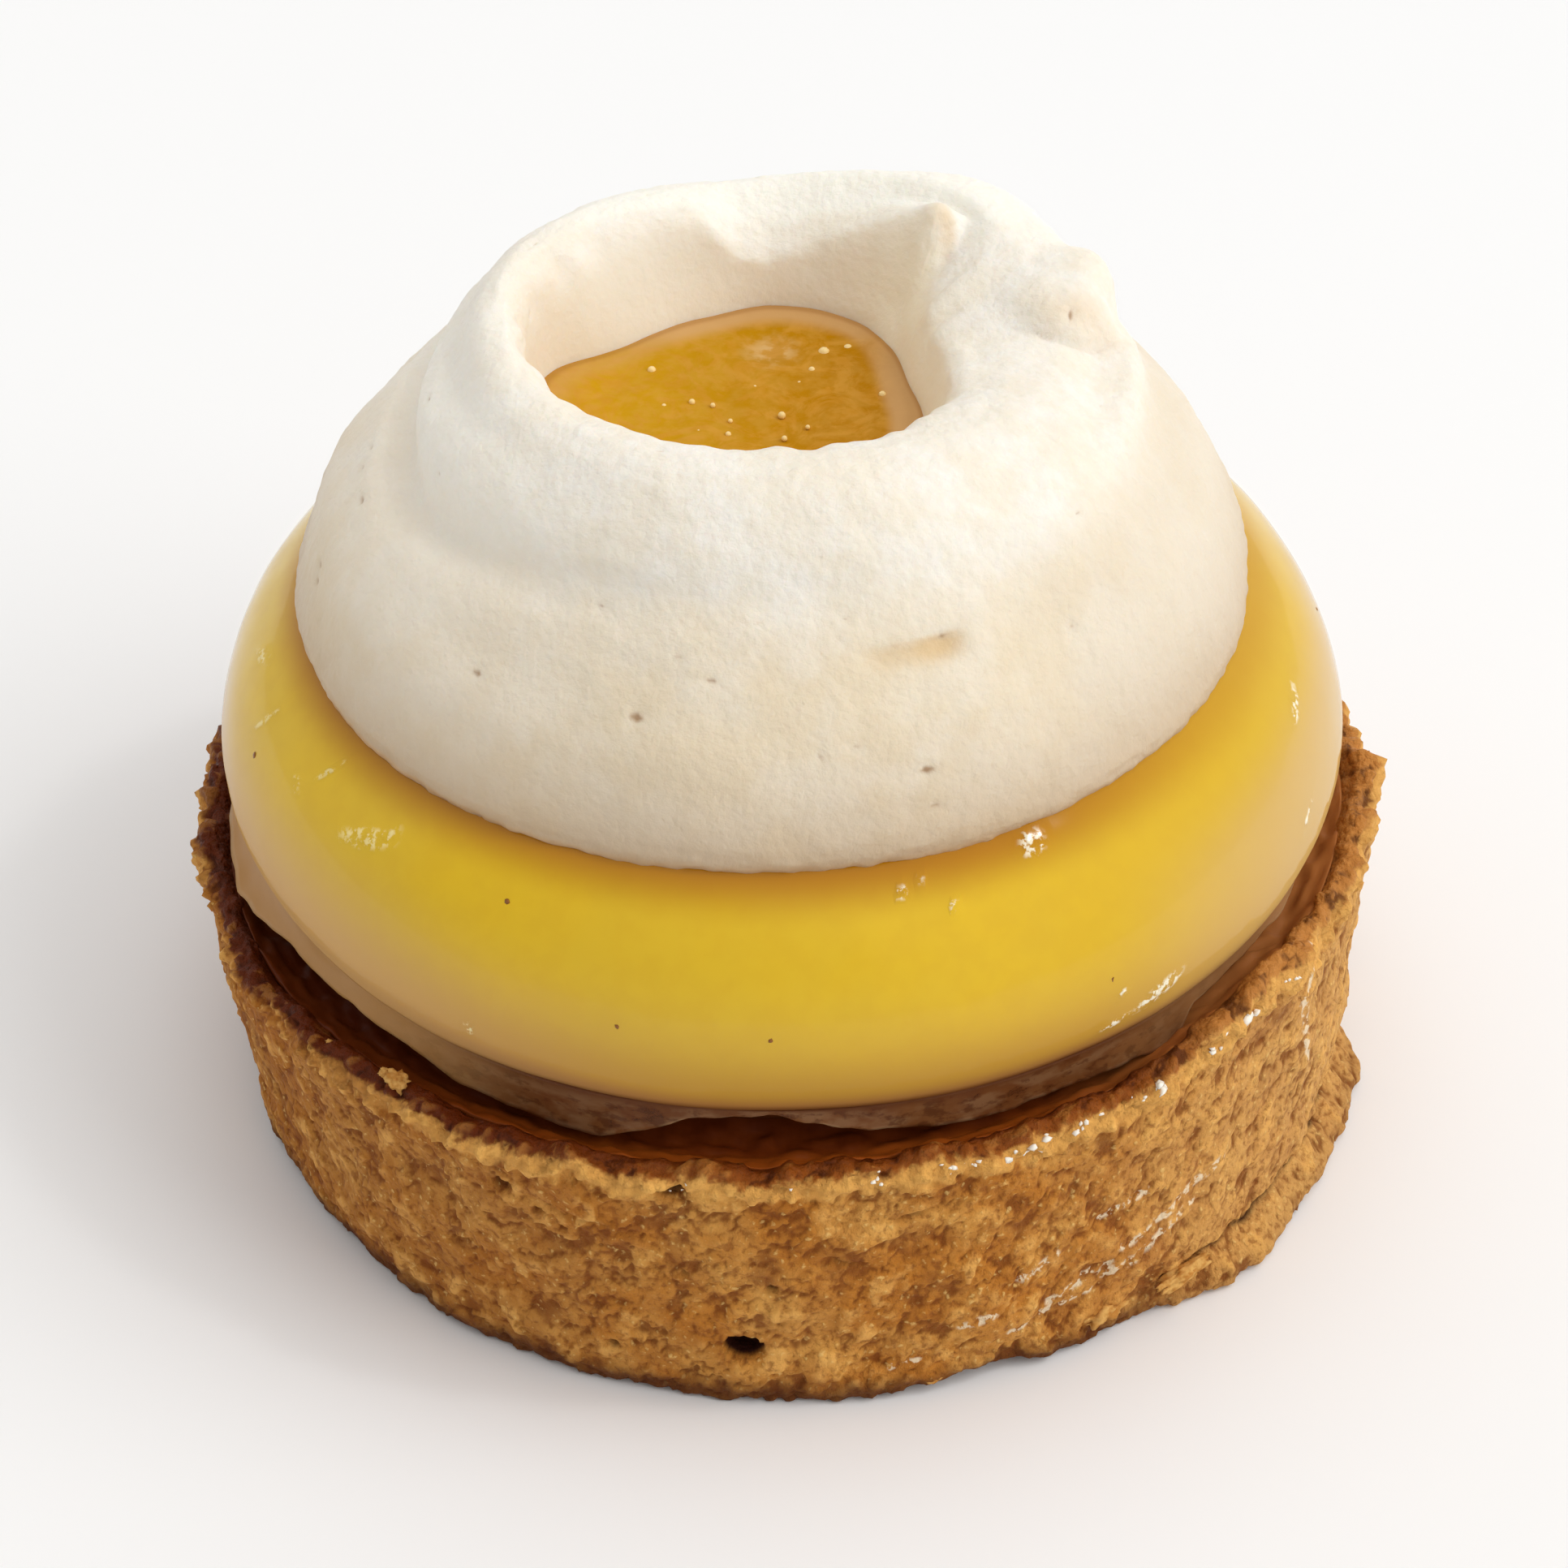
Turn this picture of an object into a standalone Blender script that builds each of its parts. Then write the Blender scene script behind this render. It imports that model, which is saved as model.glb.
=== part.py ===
"""Lemon meringue tart for one person: a craggy shortcrust case, a glazed lemon dome that
fills it and swells above its rim, a piped meringue nest on top, and lemon gel in the nest.

Sizes are millimetres and azimuths degrees, anticlockwise from +X seen from above; the front
is -Y, azimuth -90. Each mesh is brought to metres when it becomes an object. The tart stands
on z = 0 with its axis on z.
"""

import bisect
import math

import bmesh
import bpy
from mathutils import Matrix, Vector, noise

MM = 0.001
GAP = 0.32

# Crust: the case leans, so its base stands a little to the right of its rim.
RIM_RADIUS = 39.8
RIM_HEIGHT = 21.6
RIM_THICKNESS = 2.3
BASE_RADIUS = 38.4
BASE_SHIFT = 0.9
CRUST_FLOOR = 3.0
CORNER_INSET = 3.6
CRUST_STEPS = 120

# Lemon dome.
DOME_RADIUS = 37.45
DOME_TOP = 42.0
LEDGE_HEIGHT = 18.8
LEDGE_RADIUS = 36.2
FILLING_STEPS = 72

# Meringue nest, whose foot is pushed a little to the left, and the gel in it.
NEST_RADIUS = 31.0
NEST_SHIFT = -0.5
NEST_STEPS = 108
GEL_LEVEL = 50.0
GEL_STEPS = 48


# ---------------------------------------------------------------- curves and meshes


def ease(low, high, value):
    """0 below low, 1 above high, smooth between."""
    share = min(max((value - low) / (high - low), 0.0), 1.0)
    return share * share * (3.0 - 2.0 * share)


def turn(angle):
    """An angle brought to -180..180."""
    return (angle + 180.0) % 360.0 - 180.0


def bell(distance, spread):
    return math.exp(-((distance / spread) ** 2))


def hermite(a, b, slope_a, slope_b, share):
    square, cube = share * share, share**3
    return (
        a * (2 * cube - 3 * square + 1)
        + slope_a * (cube - 2 * square + share)
        + b * (3 * square - 2 * cube)
        + slope_b * (cube - square)
    )


def around(knots, azimuth):
    """The smooth closed curve through (azimuth, value) knots, read at an azimuth."""
    angles = [knot[0] for knot in knots]
    count = len(knots)
    azimuth = (azimuth - angles[0]) % 360.0 + angles[0]
    here = bisect.bisect_right(angles, azimuth) - 1

    def knot(index):
        lap, index = divmod(index, count)
        return angles[index] + 360.0 * lap, knots[index][1]

    (a0, v0), (a1, v1), (a2, v2), (a3, v3) = (knot(here + step) for step in (-1, 0, 1, 2))
    span = a2 - a1
    slope_1 = (v2 - v0) / (a2 - a0) * span
    slope_2 = (v3 - v1) / (a3 - a1) * span
    return hermite(v1, v2, slope_1, slope_2, (azimuth - a1) / span)


def along(stations, place):
    """The smooth open curve through (r, z) stations, read at a place of 0 to the last one."""
    last = len(stations) - 1
    here = min(int(place), last - 1)
    p0, p1 = stations[max(here - 1, 0)], stations[here]
    p2, p3 = stations[here + 1], stations[min(here + 2, last)]
    return tuple(
        hermite(b, c, (c - a) / 2, (d - b) / 2, place - here)
        for a, b, c, d in zip(p0, p1, p2, p3)
    )


def ripple(azimuth, height, size, seed):
    """Smooth noise of about -1..1 over a wall; size is the width of one lump."""
    angle = math.radians(azimuth)
    around_wall = Vector((math.cos(angle), math.sin(angle), 0.0)) * (RIM_RADIUS / size)
    return noise.noise(around_wall + Vector((seed, 0.0, height / size))) * 1.6


def spun(profile, steps, closed=False):
    """A profile of (r, z) points turned round the z axis, with each vertex's place on it."""
    bm = bmesh.new()
    place = bm.verts.layers.float.new("place")
    verts = [bm.verts.new((r, 0.0, z)) for r, z in profile]
    for index, vert in enumerate(verts):
        vert[place] = index
    pairs = list(zip(verts, verts[1:]))
    if closed:
        pairs.append((verts[-1], verts[0]))
    edges = [bm.edges.new(pair) for pair in pairs]
    bmesh.ops.spin(
        bm,
        geom=verts + edges,
        cent=(0.0, 0.0, 0.0),
        axis=(0.0, 0.0, 1.0),
        angle=math.tau,
        steps=steps,
        use_merge=True,
    )
    bmesh.ops.remove_doubles(bm, verts=bm.verts, dist=1e-4)
    return bm, place


def shaped(bm, place, shape):
    """Every vertex moved to where shape puts its (r, azimuth, z, place)."""
    for vert in bm.verts:
        azimuth = math.degrees(math.atan2(vert.co.y, vert.co.x))
        vert.co = shape(math.hypot(vert.co.x, vert.co.y), azimuth, vert.co.z, vert[place])


def spot(r, azimuth, z, shift=0.0):
    angle = math.radians(azimuth)
    return Vector((r * math.cos(angle) + shift, r * math.sin(angle), z))


def to_object(bm, name, material, collection):
    """The finished solid in metres, shaded smooth."""
    bmesh.ops.recalc_face_normals(bm, faces=bm.faces)
    bmesh.ops.scale(bm, vec=(MM, MM, MM), verts=bm.verts)
    bmesh.ops.triangulate(bm, faces=bm.faces)
    mesh = bpy.data.meshes.new(name)
    bm.to_mesh(mesh)
    bm.free()
    mesh.shade_smooth()
    mesh.set_sharp_from_angle(angle=math.radians(50.0))
    mesh.materials.append(material)
    solid = bpy.data.objects.new(name, mesh)
    collection.objects.link(solid)
    return solid


def plain_material(name, color, roughness, coat=0.0):
    material = bpy.data.materials.new(name)
    material.use_nodes = True
    shader = material.node_tree.nodes["Principled BSDF"]
    shader.inputs["Base Color"].default_value = (*color, 1.0)
    shader.inputs["Roughness"].default_value = roughness
    shader.inputs["Metallic"].default_value = 0.0
    shader.inputs["Coat Weight"].default_value = coat
    return material


# ---------------------------------------------------------------- crust

# Height of the rim by azimuth: the case sits on its foot of dough and leans to the left.
RIM_AROUND = (
    (-176, 19.9), (-150, 19.7), (-134, 20.7), (-105, 21.2), (-77, 21.8), (-58, 22.1),
    (-38, 23.6), (-28, 22.3), (-8, 22.9), (3, 22.2), (13, 20.6), (50, 20.9), (90, 20.3),
    (135, 20.4),
)
# (azimuth, spread, outward, upward) of the knobs and chips along the rim.
RIM_CRAGS = (
    (-4.0, 3.0, 0.75, 0.2),
    (-14.0, 3.5, 0.3, 0.0),
    (-29.0, 3.0, -0.6, -0.7),
    (-64.0, 3.0, 0.0, 0.3),
    (-101.0, 3.0, -0.25, -0.3),
    (-152.0, 3.0, 0.35, 0.0),
    (150.0, 5.0, -0.3, -0.4),
    (118.0, 3.5, 0.4, 0.4),
    (82.0, 5.0, -0.3, -0.5),
    (50.0, 3.5, 0.4, 0.3),
)
# The ridge of dough squeezed out under the baking ring: its azimuths, height and reach.
FOOT_FROM, FOOT_TO, FOOT_HEIGHT, FOOT_OUT = -57.0, -8.0, 2.4, 1.95
# The lifted stretch of the bottom edge.
LIFT_AZIMUTH, LIFT_SPREAD, LIFT_HEIGHT = -73.0, 7.0, 1.0
# (width, depth, seed) of the lumps on the baked wall, and of those along the rim.
WALL_LUMPS = ((7.5, 0.34, 2.0), (3.4, 0.2, 9.0))
RIM_LUMPS = (3.6, 0.38, 5.0)
WALL_HEIGHTS = (0.9, 2.6, 4.6, 6.8, 9.0, 11.2, 13.4, 15.6, 17.6, 19.4)


def crust_profile():
    """From the middle of the underside, up the outer wall, over the rim, down to the floor."""
    taper = (RIM_RADIUS - BASE_RADIUS) / RIM_HEIGHT
    under = [(0.0, 0.0), (BASE_RADIUS - 6.0, 0.0), (BASE_RADIUS - 0.8, 0.0)]
    wall = [(BASE_RADIUS + taper * z, z) for z in WALL_HEIGHTS]
    rim = [
        (RIM_RADIUS - 0.05, RIM_HEIGHT - 0.95),
        (RIM_RADIUS - 0.3 * RIM_THICKNESS, RIM_HEIGHT - 0.1),
        (RIM_RADIUS - 0.65 * RIM_THICKNESS, RIM_HEIGHT - 0.15),
        (RIM_RADIUS - RIM_THICKNESS, RIM_HEIGHT - 1.2),
    ]
    inside = [
        (LEDGE_RADIUS + 0.75, 19.0),
        (LEDGE_RADIUS + GAP, 16.0),
        (BASE_RADIUS - CORNER_INSET + 1.0, CRUST_FLOOR + 1.2),
        (BASE_RADIUS - CORNER_INSET, CRUST_FLOOR),
        (0.0, CRUST_FLOOR),
    ]
    return under + wall + rim + inside


def leaned(height):
    """Sideways shift of the leaning case at a height."""
    return BASE_SHIFT * (1.0 - height / RIM_HEIGHT)


def crust_shape(r, azimuth, z, place):
    """The case's spun form with its tilted craggy rim, baked skin, foot and lifted edge."""
    outer = ease(1.5, 3.5, place) * (1.0 - ease(14.0, 16.5, place))
    near_rim = ease(RIM_HEIGHT - 3.2, RIM_HEIGHT - 0.6, z) * (1.0 - ease(15.5, 17.0, place))
    upward = (around(RIM_AROUND, azimuth) - RIM_HEIGHT) * ease(6.0, RIM_HEIGHT, z)
    outward = 0.0
    for crag_azimuth, spread, out, up in RIM_CRAGS:
        share = bell(turn(azimuth - crag_azimuth), spread) * near_rim
        outward += out * share
        upward += up * share
    width, depth, seed = RIM_LUMPS
    upward += depth * ripple(azimuth, 0.0, width, seed) * near_rim
    for width, depth, seed in WALL_LUMPS:
        outward += depth * ripple(azimuth, z, width, seed) * outer
    if 2.5 < place < 9.5:
        ends = ease(FOOT_FROM, FOOT_FROM + 14.0, azimuth) * (1.0 - ease(FOOT_TO - 3.0, FOOT_TO, azimuth))
        lump = 1.0 + 0.35 * ripple(azimuth, 0.0, 5.0, 21.0)
        low = 1.0 - ease(FOOT_HEIGHT - 1.6, FOOT_HEIGHT + 0.6, z)
        outward += FOOT_OUT * ends * lump * low
    if 1.5 < place < 4.5:
        upward += LIFT_HEIGHT * bell(turn(azimuth - LIFT_AZIMUTH), LIFT_SPREAD) * (1.0 - z / 2.0)
    return spot(r + outward, azimuth, z + upward, leaned(z))


def make_crust(collection):
    bm, place = spun(crust_profile(), CRUST_STEPS)
    shaped(bm, place, crust_shape)
    material = plain_material("baked_crust", (0.38, 0.155, 0.034), 0.7)
    return to_object(bm, "crust", material, collection)


# ---------------------------------------------------------------- lemon filling and dome

# (r, z) of the dome's outer skin, from its tucked-in foot to the middle of its top.
DOME_SKIN = (
    (33.1, LEDGE_HEIGHT + 0.5),
    (33.4, 20.4),
    (34.7, 22.0),
    (36.2, 23.8),
    (37.2, 25.9),
    (DOME_RADIUS, 28.0),
    (37.0, 30.2),
    (35.9, 32.8),
    (34.1, 35.3),
    (31.2, 37.85),
    (27.0, 39.9),
    (20.0, 41.4),
    (11.0, DOME_TOP - 0.1),
    (0.0, DOME_TOP),
)


def dome_height(r):
    """Height of the dome's top at a radius inside the meringue's foot."""
    top = [point for point in DOME_SKIN if point[1] > 35.0]
    for (outer, low), (inner, high) in zip(top, top[1:]):
        if inner <= r <= outer:
            return high + (low - high) * (r - inner) / (outer - inner)
    return top[0][1]


def filling_profile():
    """The part of the filling that stands in the case, up to the ledge under the dome."""
    floor = CRUST_FLOOR + GAP
    corner = BASE_RADIUS - CORNER_INSET - GAP
    return [
        (0.0, floor),
        (corner, floor),
        (corner + 1.0, floor + 1.3),
        (LEDGE_RADIUS, 16.0),
        (LEDGE_RADIUS + 0.25, LEDGE_HEIGHT - 0.25),
        (LEDGE_RADIUS - 0.4, LEDGE_HEIGHT),
    ]


def filling_shape(r, azimuth, z, place):
    """The filling leans with the case up to its ledge, and the dome on it stands straight."""
    rise = ease(6.0, RIM_HEIGHT, z) * (1.0 - ease(LEDGE_HEIGHT, LEDGE_HEIGHT + 2.7, z))
    upward = (around(RIM_AROUND, azimuth) - RIM_HEIGHT) * rise
    return spot(r, azimuth, z + upward, leaned(z) if z <= 16.0 else 0.0)


def make_filling(collection):
    bm, place = spun(filling_profile() + list(DOME_SKIN), FILLING_STEPS)
    shaped(bm, place, filling_shape)
    material = plain_material("lemon_glaze", (0.70, 0.44, 0.03), 0.15, coat=1.0)
    return to_object(bm, "lemon_filling", material, collection)


# ---------------------------------------------------------------- meringue nest

# Radius of the nest's hole at its lip and at the gel, and height of the lip, by azimuth.
LIP_RADIUS = (
    (-165, 15.2), (-130, 13.3), (-95, 12.4), (-58, 12.4), (-28, 12.1), (-4, 11.2), (18, 11.1),
    (32, 12.2), (41, 14.1), (49, 15.3), (62, 14.8), (80, 14.1), (98, 13.9), (113, 15.2),
    (145, 15.9), (175, 16.0),
)
GEL_RADIUS = (
    (-165, 15.2), (-130, 12.6), (-90, 11.3), (-45, 10.4), (0, 9.2), (22, 9.1), (45, 10.5),
    (64, 12.2), (91, 12.9), (112, 12.6), (133, 12.7), (147, 13.7), (160, 15.4), (175, 15.7),
)
LIP_HEIGHT = (
    (-165, 55.5), (-125, 55.3), (-90, 55.4), (-50, 55.2), (-15, 54.4), (15, 54.1), (35, 54.6),
    (60, 54.2), (80, 53.7), (98, 53.5), (104, 54.7), (110, 55.9), (140, 56.1), (175, 55.7),
)
CREST_RADIUS = (
    (-150, 16.9), (-90, 16.2), (-40, 15.8), (0, 15.4), (30, 17.8), (60, 19.4), (90, 18.6),
    (112, 18.3), (145, 18.4), (175, 17.5),
)
CREST_HEIGHT = (
    (-150, 56.8), (-90, 56.8), (-50, 56.2), (-20, 55.2), (5, 54.7), (30, 55.9), (48, 56.7),
    (70, 56.5), (90, 56.1), (112, 56.6), (145, 57.4), (170, 57.1),
)
# Share of the lip's rise to the crest that is made on the first part of the way.
LIP_BULGE = (
    (-150, 0.75), (-60, 0.75), (0, 0.7), (50, 0.55), (72, 0.46), (98, 0.46), (110, 0.75),
    (150, 0.8),
)
# Radius and height of the flank's shoulder under the crest.
SHOULDER_RADIUS = (
    (-150, 21.4), (-120, 21.2), (-40, 21.0), (4, 20.5), (24, 21.2), (48, 22.1), (80, 21.6),
    (110, 21.6), (150, 21.5), (176, 21.0),
)
SHOULDER_HEIGHT = (
    (-150, 54.2), (-120, 54.3), (-40, 54.0), (5, 53.0), (30, 54.6), (50, 55.2), (80, 54.4),
    (110, 54.6), (150, 54.5), (176, 53.9),
)
# The groove between the lower and the upper coil: its height and depth by azimuth.
COIL_GROOVE_HEIGHT = (
    (-160, 49.9), (-132, 50.9), (-104, 52.0), (-58, 52.6), (-30, 52.0), (10, 50.5), (60, 50.0),
    (110, 51.0), (150, 52.0), (180, 50.8),
)
COIL_GROOVE_DEPTH = (
    (-160, 1.4), (-132, 0.85), (-104, 0.5), (-58, 0.25), (-25, 0.2), (10, 0.35), (60, 0.7),
    (110, 1.0), (150, 1.3), (180, 1.55),
)
# The fainter groove outside the last turn of piping, at the left.
TOP_GROOVE_AZIMUTH, TOP_GROOVE_SPREAD, TOP_GROOVE_RADIUS = 178.0, 38.0, 20.0
TOP_GROOVE_WIDTH, TOP_GROOVE_DEPTH = 1.1, 0.7
# The thin peak drawn up along the lip: it swells from one azimuth to its tip, then drops.
PEAK_FROM, PEAK_TIP, PEAK_TO = 88.0, 49.0, 45.0
PEAK_HEIGHT, PEAK_THICKNESS = 3.7, 1.35
# The blunt end of the piping at the right: middle and half sizes in plan, foot and rise,
# and the dent under its front.
TAIL_MIDDLE, TAIL_HALF, TAIL_TURN = Vector((17.7, 7.6)), Vector((4.2, 3.3)), 33.0
TAIL_FOOT, TAIL_RISE, TAIL_DENT = 53.0, 2.7, 0.9

# Points of the nest's section from the gel over the crest to its foot, and those under it;
# it is spun as a round ring of this radius, height and size, then given its form.
NEST_PLACES = 25
UNDER_RADII = (27.0, 20.0)
RING_RADIUS, RING_HEIGHT, RING_SIZE = 22.0, 48.0, 8.0
# The meridians stand closer together at the peak and the tail than on the other side.
CROWD_AZIMUTH, CROWD = 40.0, 24.0


def peak_share(azimuth):
    """0 off the drawn-up peak, 1 at its tip."""
    if azimuth > PEAK_TIP:
        return max((PEAK_FROM - azimuth) / (PEAK_FROM - PEAK_TIP), 0.0) ** 1.6
    return ease(PEAK_TO, PEAK_TIP, azimuth)


def nest_stations(azimuth):
    """(r, z) down one meridian, from the hole's foot over the crest to the outer foot."""
    lip, gel = around(LIP_RADIUS, azimuth), around(GEL_RADIUS, azimuth)
    lip_z, bulge = around(LIP_HEIGHT, azimuth), around(LIP_BULGE, azimuth)
    crest, crest_z = around(CREST_RADIUS, azimuth), around(CREST_HEIGHT, azimuth)
    side, side_z = around(SHOULDER_RADIUS, azimuth), around(SHOULDER_HEIGHT, azimuth)
    foot = NEST_RADIUS - 0.15
    peak = peak_share(azimuth)
    ridge_z = lip_z + PEAK_HEIGHT * peak
    behind = 0.6 * lip + 0.4 * crest
    behind += (lip + PEAK_THICKNESS - behind) * peak
    return (
        (gel, dome_height(gel) + GAP),
        (gel - 0.1, 46.5),
        (gel, GEL_LEVEL),
        (0.35 * gel + 0.65 * lip - 0.15, 0.3 * GEL_LEVEL + 0.7 * ridge_z),
        (lip, ridge_z),
        (behind, lip_z + bulge * (crest_z - lip_z)),
        (crest, crest_z),
        (0.55 * crest + 0.45 * side, crest_z - 0.24 * (crest_z - side_z)),
        (side, side_z),
        (22.7, 52.5),
        (24.0, 50.6),
        (25.8, 48.3),
        (27.9, 45.4),
        (29.6, 42.6),
        (30.7, 40.2),
        (NEST_RADIUS, 38.9),
        (foot, dome_height(foot) + GAP),
    )


def tail_on(point):
    """The blunt end of the piping laid over a point of the nest's top."""
    step = Vector((point.x, point.y)) - TAIL_MIDDLE
    step.rotate(Matrix.Rotation(-math.radians(TAIL_TURN), 2))
    reach = math.hypot(step.x / TAIL_HALF.x, step.y / TAIL_HALF.y)
    front = ease(0.15, 0.8, -step.y / TAIL_HALF.y)
    point.z -= TAIL_DENT * bell(reach - 1.12, 0.22) * front
    if reach < 1.0:
        point.z = max(point.z, TAIL_FOOT + TAIL_RISE * (1.0 - reach**3.5) ** 0.5)


def nest_shape(r, azimuth, z, place):
    """A point of the nest: its meridian's station, then the grooves, the tail and lumps."""
    azimuth = turn(azimuth - CROWD * math.sin(math.radians(azimuth - CROWD_AZIMUTH)))
    upper = NEST_PLACES - 1
    if place > upper:
        radius = UNDER_RADII[round(place) - NEST_PLACES]
        return on_dome(radius, azimuth, dome_height(radius) + GAP)
    stations = nest_stations(azimuth)
    station = (len(stations) - 1) * place / upper
    radius, height = along(stations, station)
    outside = ease(6.0, 7.5, station)
    groove = around(COIL_GROOVE_DEPTH, azimuth)
    cut = groove * bell(height - around(COIL_GROOVE_HEIGHT, azimuth), 1.5) * outside
    swell = 0.35 * bell(height - 44.5, 3.4) * outside
    radius += 0.75 * (swell - cut)
    height += 0.66 * (swell - cut)
    turned = turn(azimuth - TOP_GROOVE_AZIMUTH)
    dip = bell(turned, TOP_GROOVE_SPREAD) * bell(radius - TOP_GROOVE_RADIUS, TOP_GROOVE_WIDTH)
    height -= TOP_GROOVE_DEPTH * dip * outside
    point = on_dome(radius, azimuth, height)
    if 4.5 < station < 11.0:
        tail_on(point)
    lumps = noise.noise(point / 9.0) * ease(1.0, 4.0, station) * (1.0 - ease(14.0, 16.0, station))
    return point + spot(0.35 * lumps, azimuth, 0.3 * lumps)


def on_dome(radius, azimuth, height):
    """A point of the nest, with its outer edge shifted to the left and clear of the dome."""
    point = spot(radius, azimuth, height, NEST_SHIFT * ease(27.0, 29.0, radius))
    point.z = max(height, dome_height(math.hypot(point.x, point.y)) + GAP)
    return point


def make_nest(collection):
    places = NEST_PLACES + len(UNDER_RADII)
    profile = []
    for index in range(places):
        angle = math.tau * index / places
        across, up = RING_SIZE * math.cos(angle), RING_SIZE * math.sin(angle)
        profile.append((RING_RADIUS - across, RING_HEIGHT + up))
    bm, place = spun(profile, NEST_STEPS, closed=True)
    shaped(bm, place, nest_shape)
    material = plain_material("meringue", (0.86, 0.75, 0.60), 0.6)
    return to_object(bm, "meringue", material, collection)


# ---------------------------------------------------------------- lemon gel

# (share of the radius in tenths, share of the depth) of the gel's section.
GEL_SECTION = (
    (0.0, 0.0), (5.0, 0.0), (9.9, 0.0), (10.0, 0.5), (10.0, 0.95), (9.5, 1.0), (6.5, 1.0),
    (3.2, 1.0), (0.0, 1.0),
)
GEL_TENTHS = 10.0
# How much higher the gel stands at the nest's wall, and the height of its waves.
GEL_CREEP, GEL_WAVES = 0.35, 0.25


def gel_shape(r, azimuth, z, place):
    """The gel fills the nest's hole up to its level, a little higher at the wall."""
    share = r / GEL_TENTHS
    wall = around(GEL_RADIUS, azimuth) - GAP - 0.1
    radius = share * wall
    low = dome_height(radius) + GAP
    waves = GEL_WAVES * noise.noise(spot(radius, azimuth, 3.0) / 5.0)
    top = GEL_LEVEL - GEL_CREEP * (1.0 - share * share) + waves
    return on_dome(radius, azimuth, low + z * (top - low))


def make_gel(collection):
    bm, place = spun(GEL_SECTION, GEL_STEPS)
    shaped(bm, place, gel_shape)
    material = plain_material("lemon_gel", (0.58, 0.30, 0.03), 0.12, coat=1.0)
    return to_object(bm, "lemon_gel", material, collection)


def main():
    for obj in list(bpy.data.objects):
        bpy.data.objects.remove(obj, do_unlink=True)
    tart = bpy.data.collections.new("lemon_tart")
    bpy.context.scene.collection.children.link(tart)
    make_crust(tart)
    make_filling(tart)
    make_nest(tart)
    make_gel(tart)


main()
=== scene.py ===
"""Looks of the lemon meringue tart: its baked crust, glazed lemon dome, piped meringue nest
and gel, in the solids' own places, with the film and ring of glaze, specks, near-white grains
painted as glints on the rim, crumbs and bubbles.

Sizes are millimetres and azimuths degrees, anticlockwise from +X seen from above; the front
is -Y, azimuth -90. Each mesh is brought to metres when it becomes an object. The shapes of
the four solids' pieces follow the part's source, with many more vertices.
"""

import bisect
import math
import random

import bmesh
import bpy
from mathutils import Matrix, Vector, noise


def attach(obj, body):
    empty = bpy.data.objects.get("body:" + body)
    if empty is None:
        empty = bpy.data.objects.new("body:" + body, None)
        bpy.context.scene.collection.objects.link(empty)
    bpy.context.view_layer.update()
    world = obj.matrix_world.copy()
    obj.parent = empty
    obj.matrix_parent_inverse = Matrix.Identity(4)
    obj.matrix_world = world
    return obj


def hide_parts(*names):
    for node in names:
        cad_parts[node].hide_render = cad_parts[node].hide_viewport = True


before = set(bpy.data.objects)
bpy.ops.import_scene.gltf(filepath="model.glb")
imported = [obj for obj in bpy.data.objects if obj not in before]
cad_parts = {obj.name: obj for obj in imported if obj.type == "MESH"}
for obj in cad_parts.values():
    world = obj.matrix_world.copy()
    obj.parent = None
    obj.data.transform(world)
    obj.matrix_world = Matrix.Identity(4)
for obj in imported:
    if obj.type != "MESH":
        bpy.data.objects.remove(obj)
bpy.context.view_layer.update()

MM = 0.001
BODY = "root"

# Crust: the case leans, so its base stands a little to the right of its rim.
RIM_RADIUS = 39.8
RIM_HEIGHT = 21.6
RIM_THICKNESS = 2.3
BASE_RADIUS = 38.4
BASE_SHIFT = 0.9
CRUST_FLOOR = 3.0
CORNER_INSET = 3.6

# Lemon dome.
DOME_RADIUS = 37.45
DOME_TOP = 42.0
LEDGE_HEIGHT = 18.8
LEDGE_RADIUS = 36.2

# Meringue nest, whose foot is pushed a little to the left, and the gel in it.
NEST_RADIUS = 31.0
NEST_SHIFT = -0.5
GEL_LEVEL = 50.0

# How far a piece is let into the one it lies on, so that no line of light shows between.
SET_IN = 0.12
# A piece of revolution is turned in this many steps, each cut finer afterwards.
TURN_STEPS = 60


# ---------------------------------------------------------------- curves


def ease(low, high, value):
    """0 below low, 1 above high, smooth between."""
    share = min(max((value - low) / (high - low), 0.0), 1.0)
    return share * share * (3.0 - 2.0 * share)


def band(rise, full, ebb, end, value):
    """1 from full to ebb, 0 below rise and above end, smooth between."""
    return ease(rise, full, value) * (1.0 - ease(ebb, end, value))


def turn(angle):
    """An angle brought to -180..180."""
    return (angle + 180.0) % 360.0 - 180.0


def azimuth_of(point):
    return math.degrees(math.atan2(point.y, point.x))


def bell(distance, spread):
    return math.exp(-((distance / spread) ** 2))


def hermite(a, b, slope_a, slope_b, share):
    square, cube = share * share, share**3
    return (
        a * (2 * cube - 3 * square + 1)
        + slope_a * (cube - 2 * square + share)
        + b * (3 * square - 2 * cube)
        + slope_b * (cube - square)
    )


def around(knots, azimuth):
    """The smooth closed curve through (azimuth, value) knots, read at an azimuth."""
    angles = [knot[0] for knot in knots]
    count = len(knots)
    azimuth = (azimuth - angles[0]) % 360.0 + angles[0]
    here = bisect.bisect_right(angles, azimuth) - 1

    def knot(index):
        lap, index = divmod(index, count)
        return angles[index] + 360.0 * lap, knots[index][1]

    (a0, v0), (a1, v1), (a2, v2), (a3, v3) = (knot(here + step) for step in (-1, 0, 1, 2))
    span = a2 - a1
    slope_1 = (v2 - v0) / (a2 - a0) * span
    slope_2 = (v3 - v1) / (a3 - a1) * span
    return hermite(v1, v2, slope_1, slope_2, (azimuth - a1) / span)


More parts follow.
